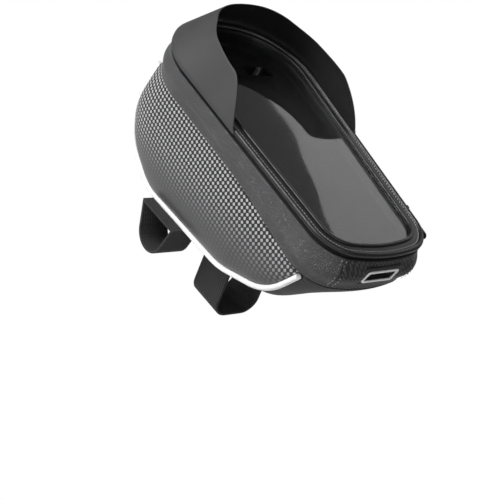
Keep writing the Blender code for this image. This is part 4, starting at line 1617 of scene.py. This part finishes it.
        slot = rounded_rectangle(*self.slot_size, self.slot_size[1] * 0.45)
        self.bag.cut(item, prism(slot, floor - 0.004, floor + 0.004, flat), Body.LID, Solver.MANIFOLD)
        tab_top = base - GAP
        tab = prism(rounded_rectangle(*self.tab_size, 0.003), tab_top - 0.0014, tab_top, flat)
        round_edges(tab, 0.0003, 2)
        self.bag.add("pocket_flap", tab, self.bag.finishes.strap, Body.LID, ["pocket_tab"])


@dataclass
class Visor:
    """Thin visor round the front half of the lid, leaning in over the window."""

    bag: Bag
    end_y: float = 0.0
    thickness: float = 0.0008
    fit: float = 0.0008
    upright: float = 0.0022
    side_height: float = 0.0256
    front_height: float = 0.0322
    rise_length: float = 0.030
    rise_power: float = 1.6
    slope_length: float = 0.150
    lowest: float = 0.0012
    side_lean: float = 0.0076
    corner_lean: float = 0.0198
    corner_share: float = 0.62
    front_lean: float = 0.0219
    window_middle: float = 0.02
    columns: int = 240
    rows: int = 30

    def height(self, run: float) -> float:
        """Height of the free edge.

        Args:
            run: run from the visor's end.

        Returns:
            The height above the visor's foot.
        """
        left = 1.0 - min(run / self.rise_length, 1.0)
        rise = self.side_height * (1.0 - left**self.rise_power)
        rise += (self.front_height - self.side_height) * smooth_step(run / self.slope_length)
        return max(rise, self.lowest)

    def lean(self, run: float, half_length: float) -> float:
        """How far the free edge leans in.

        Args:
            run: run from the visor's end.
            half_length: run from its end to its middle.

        Returns:
            The lean in metres.
        """
        knots = [
            (0.0, 0.0), (self.rise_length, self.side_lean),
            (half_length * self.corner_share, self.corner_lean), (half_length, self.front_lean),
        ]
        for (start, low), (end, high) in zip(knots, knots[1:]):
            if run <= end:
                return low + (high - low) * smooth_step((run - start) / (end - start))
        return self.front_lean

    def build(self) -> None:
        """Build the visor as one closed skin with a rounded free edge."""
        outline = self.bag.outline
        start = outline.run_at_y(self.end_y)
        half_length = outline.length / 2 - start
        base = self.bag.shape.half_groove + self.fit

        def point(along: float, share: float, depth: float) -> Vector:
            """Point of the visor.

            Args:
                along: run from one end of the visor.
                share: share of the way up to the free edge.
                depth: depth inside the outer face.

            Returns:
                The point, in the lid's frame.
            """
            from_end = min(along, 2.0 * half_length - along)
            height = self.height(from_end)
            level = height * share
            over = max(level - self.upright, 0.0) / max(height - self.upright, self.upright)
            inset = self.lean(from_end, half_length) * over - self.fit - self.thickness + depth
            return raised(outline.offset(start + along, inset), base + level)

        def section(column: int) -> list[Vector]:
            """Ring of the visor: outer face, rounded edge and inner face.

            Args:
                column: column at which it stands.

            Returns:
                Its points.
            """
            along = 2.0 * half_length * column / self.columns
            outer = [point(along, row / self.rows, 0.0) for row in range(self.rows + 1)]
            edge = point(along, 1.0, self.thickness / 2) + Vector((0.0, 0.0, self.thickness * 0.4))
            inner = [point(along, row / self.rows, self.thickness) for row in reversed(range(self.rows + 1))]
            return outer + [edge] + inner

        bm = section_sweep(self.columns, section)
        # Faces that look in over the window take the darker copy of the skin, as painted shade.
        give_second(bm, self.faces_in)
        finishes = self.bag.finishes
        self.bag.add("visor_skin", bm, [finishes.visor, finishes.visor_inner_shade], Body.LID, ["visor"])

    def faces_in(self, face: bmesh.types.BMFace) -> bool:
        """Whether a face looks in over the window.

        Args:
            face: face of the visor.

        Returns:
            True if it does.
        """
        middle = face.calc_center_median()
        inward = Vector((-middle.x, self.window_middle - middle.y, 0.0))
        return face.normal.dot(inward) > 0.0


@dataclass
class Straps:
    """Pad under the bag, its two bar straps and its stem strap, each strap a closed loop."""

    bag: Bag
    pad_size: Flat = (0.0440, 0.0700)
    pad_arc: float = 0.0460
    pad_corner: float = 0.0080
    thickness: float = 0.0020
    fit: float = 0.0002
    bar_width: float = 0.0240
    bar_x: float = 0.0416
    bar_half_top: float = 0.0200
    stem_width: float = 0.0300
    stem_arc: float = 0.0660
    stem_half_span: float = 0.0190
    stem_drop: float = 0.0560
    stem_radius: float = 0.0120
    top_radius: float = 0.0035

    def build(self) -> None:
        """Build the pad and the straps."""
        underside = self.bag.underside
        finishes = self.bag.finishes

        def pad_place(a: float, b: float, level: float) -> Vector:
            """Place on the underside."""
            return underside.at(a, self.pad_arc - b, level)

        shape = rounded_rectangle(*self.pad_size, self.pad_corner, 8)
        pad = prism(shape, GAP, GAP + underside.pad_thickness, pad_place)
        round_edges(pad, 0.0008, 3)
        self.bag.add("grip_pad", pad, finishes.pad, Body.BAG, ["base_pad"])
        for side in Side:
            name = side.name.lower()

            def bar_place(a: float, b: float, level: float, sign: float = side.value) -> Vector:
                """Place of a bar strap."""
                return underside.at(sign * self.bar_x + level, underside.bar_arc - a, b)

            strap = self.loop(self.bar_line(), self.bar_width, bar_place)
            self.bag.add(f"bar_strap_{name}", strap, finishes.strap, Body.BAG, [f"handlebar_strap_{name}"])

        def stem_place(a: float, b: float, level: float) -> Vector:
            """Place of the stem strap."""
            return underside.at(a, self.stem_arc + level, b)

        strap = self.loop(self.stem_line(), self.stem_width, stem_place)
        self.bag.add("stem_loop", strap, finishes.strap, Body.BAG, ["stem_strap"])

    def bar_line(self) -> list[Flat]:
        """Outer face of a bar strap.

        Returns:
            Its closed line, in (forward, out from the underside).
        """
        drop = self.bag.underside.bar_drop()
        radius = self.bag.underside.bar_radius + self.fit + self.thickness
        top = self.bag.shape.piping_radius + GAP
        side_angle = math.atan2(drop - top, self.bar_half_top)
        reach = math.hypot(drop - top, self.bar_half_top)
        spread = math.acos(radius / reach)
        first = -side_angle + spread
        last = math.pi + side_angle - spread
        angles = arc_angles(first, last, 40)
        points = [(radius * math.cos(angle), drop + radius * math.sin(angle)) for angle in angles]
        return points + [(-self.bar_half_top, top), (self.bar_half_top, top)]

    def stem_line(self) -> list[Flat]:
        """Outer face of the stem strap.

        Returns:
            Its closed line, in (across, out from the underside).
        """
        top = 2 * GAP + self.bag.underside.pad_thickness
        span = self.stem_half_span
        corners = [
            (-span, top, self.top_radius), (span, top, self.top_radius),
            (span, self.stem_drop, self.stem_radius), (-span, self.stem_drop, self.stem_radius),
        ]
        return rounded_outline(corners, 12)

    def loop(self, points: list[Flat], width: float, place: Place) -> bmesh.types.BMesh:
        """Closed band with rounded edges.

        Args:
            points: its outer face as a closed line.
            width: how wide the band is.
            place: gives the place of a point.

        Returns:
            The closed mesh.
        """
        count = len(points)
        half = width / 2
        soft = 0.0005
        rows = [(0.0, -half + soft), (soft * 0.3, -half + soft * 0.3), (soft, -half)]
        rows += [(self.thickness - soft, -half), (self.thickness - soft * 0.3, -half + soft * 0.3)]
        rows += [(self.thickness, -half + soft)]
        rows += [(inset, -level) for inset, level in reversed(rows)]

        def corner(column: int, row: int) -> Vector:
            """Corner of the band.

            Args:
                column: number of the line's point.
                row: number of the section's point.

            Returns:
                Its place.
            """
            index = column % count
            here = Vector(points[index])
            one = (here - Vector(points[index - 1])).normalized()
            two = (Vector(points[(index + 1) % count]) - here).normalized()
            inward = Vector((-(one + two).y, (one + two).x)).normalized()
            inward = inward / max(0.5, inward.dot(Vector((-one.y, one.x))))
            inset, level = rows[row]
            flat = here + inward * inset
            return place(flat.x, flat.y, level)

        bm = mapped_grid(count, len(rows), lambda column, row: corner(column, row % len(rows)))
        turn_outward(bm)
        return bm


@dataclass
class Studio:
    """Camera, lights, floor and background."""

    place: Triple = (-0.5137, -0.4378, 0.4815)
    azimuth: float = -51.74
    elevation: float = 35.72
    roll: float = 31.64
    lens: float = 83.23
    floor_z: float = -0.45
    ambient: float = 0.17
    key_place: Triple = (-1.1, 0.75, 1.0)
    key_power: float = 32.0
    fill_place: Triple = (-0.9, -1.1, 0.7)
    fill_power: float = 8.0
    card_top: Triple = (1.062, 1.033, 0.836)
    card_low: Triple = (1.066, 0.701, 0.960)
    card_beyond: Triple = (1.209, 0.709, 0.886)
    card_size: Flat = (0.9, 1.8)
    card_power: float = 4.5

    def build(self) -> None:
        """Build the studio."""
        self.build_camera()
        self.build_world()
        self.build_floor()
        self.build_light("key", self.key_place, 1.0, self.key_power)
        self.build_light("fill", self.fill_place, 1.2, self.fill_power)
        self.build_card()
        bpy.context.scene.view_settings.view_transform = "Standard"

    def build_card(self) -> None:
        """Soft light that the window reflects, with one straight edge of it crossing the film."""
        top = Vector(self.card_top)
        low = Vector(self.card_low)
        up = (top - low).normalized()
        side = Vector(self.card_beyond) - (top + low) / 2
        side = (side - up * side.dot(up)).normalized()
        light = bpy.data.lights.new("card", "AREA")
        light.shape = "RECTANGLE"
        light.size, light.size_y = self.card_size
        light.energy = self.card_power
        item = bpy.data.objects.new("card", light)
        turn = Matrix((side, up, side.cross(up))).transposed()
        place = (top + low) / 2 + side * self.card_size[0] / 2
        item.matrix_world = Matrix.LocRotScale(place, turn.to_quaternion(), None)
        bpy.context.collection.objects.link(item)

    def build_camera(self) -> None:
        """Camera at the photograph's viewing angle."""
        azimuth = math.radians(self.azimuth)
        elevation = math.radians(self.elevation)
        roll = math.radians(self.roll)
        level = math.cos(elevation)
        forward = Vector((-math.sin(azimuth) * level, math.cos(azimuth) * level, -math.sin(elevation)))
        side = Vector((math.cos(azimuth), math.sin(azimuth), 0.0))
        above = side.cross(forward)
        right = side * math.cos(roll) + above * math.sin(roll)
        up = above * math.cos(roll) - side * math.sin(roll)
        camera = bpy.data.objects.new("camera", bpy.data.cameras.new("camera"))
        turn = Matrix((right, up, -forward)).transposed()
        camera.matrix_world = Matrix.LocRotScale(Vector(self.place), turn.to_quaternion(), None)
        camera.data.lens = self.lens
        camera.data.sensor_width = 36.0
        bpy.context.collection.objects.link(camera)
        bpy.context.scene.camera = camera

    def build_world(self) -> None:
        """Even light all round, seen as white by the camera."""
        world = bpy.data.worlds.new("studio")
        world.use_nodes = True
        sheet = NodeSheet(world.node_tree)
        background = world.node_tree.nodes["Background"]
        path = sheet.add("ShaderNodeLightPath")
        seen = path.outputs["Is Camera Ray"]
        strength = sheet.math("MULTIPLY_ADD", seen, 1.0 - self.ambient, self.ambient)
        sheet.tree.links.new(strength, background.inputs["Strength"])
        background.inputs["Color"].default_value = (1.0, 1.0, 1.0, 1.0)
        bpy.context.scene.world = world

    def build_floor(self) -> None:
        """Pale floor below the bag, white to the camera."""
        bm = bmesh.new()
        bmesh.ops.create_grid(bm, x_segments=1, y_segments=1, size=6.0)
        bmesh.ops.translate(bm, verts=bm.verts, vec=(0.0, 0.0, self.floor_z))
        mesh = bpy.data.meshes.new("floor")
        bm.to_mesh(mesh)
        bm.free()
        material = bpy.data.materials.new("floor")
        material.use_nodes = True
        sheet = NodeSheet(material.node_tree)
        shader = material.node_tree.nodes["Principled BSDF"]
        shader.inputs["Base Color"].default_value = (0.8, 0.8, 0.8, 1.0)
        shader.inputs["Roughness"].default_value = 0.9
        path = sheet.add("ShaderNodeLightPath")
        white = sheet.add("ShaderNodeEmission", {"Color": (1.0, 1.0, 1.0, 1.0), "Strength": 1.0})
        inputs = {0: path.outputs["Is Camera Ray"], 1: shader.outputs["BSDF"], 2: white.outputs["Emission"]}
        mixed = sheet.add("ShaderNodeMixShader", inputs)
        out = material.node_tree.nodes["Material Output"]
        sheet.tree.links.new(mixed.outputs["Shader"], out.inputs["Surface"])
        mesh.materials.append(material)
        floor = bpy.data.objects.new("floor", mesh)
        bpy.context.collection.objects.link(floor)

    def build_light(self, name: str, place: Triple, size: float, power: float) -> None:
        """Soft square light that points at the bag.

        Args:
            name: the light's name.
            place: where it stands.
            size: its width.
            power: its power in watts.
        """
        light = bpy.data.lights.new(name, "AREA")
        light.size = size
        light.energy = power
        item = bpy.data.objects.new(name, light)
        aim = Vector((0.0, 0.0, 0.08)) - Vector(place)
        item.matrix_world = Matrix.LocRotScale(Vector(place), aim.to_track_quat("-Z", "Y"), None)
        bpy.context.collection.objects.link(item)


def main() -> None:
    """Build the bag's sub-assemblies and the studio."""
    logging.basicConfig(level=logging.INFO)
    bag = Bag()
    for part in (Mouth, Shell, Keel, ZipTrack, Lid, Visor, Straps):
        LOG.info("building %s", part.__name__)
        part(bag).build()
    Studio().build()


if __name__ == "__main__":
    main()
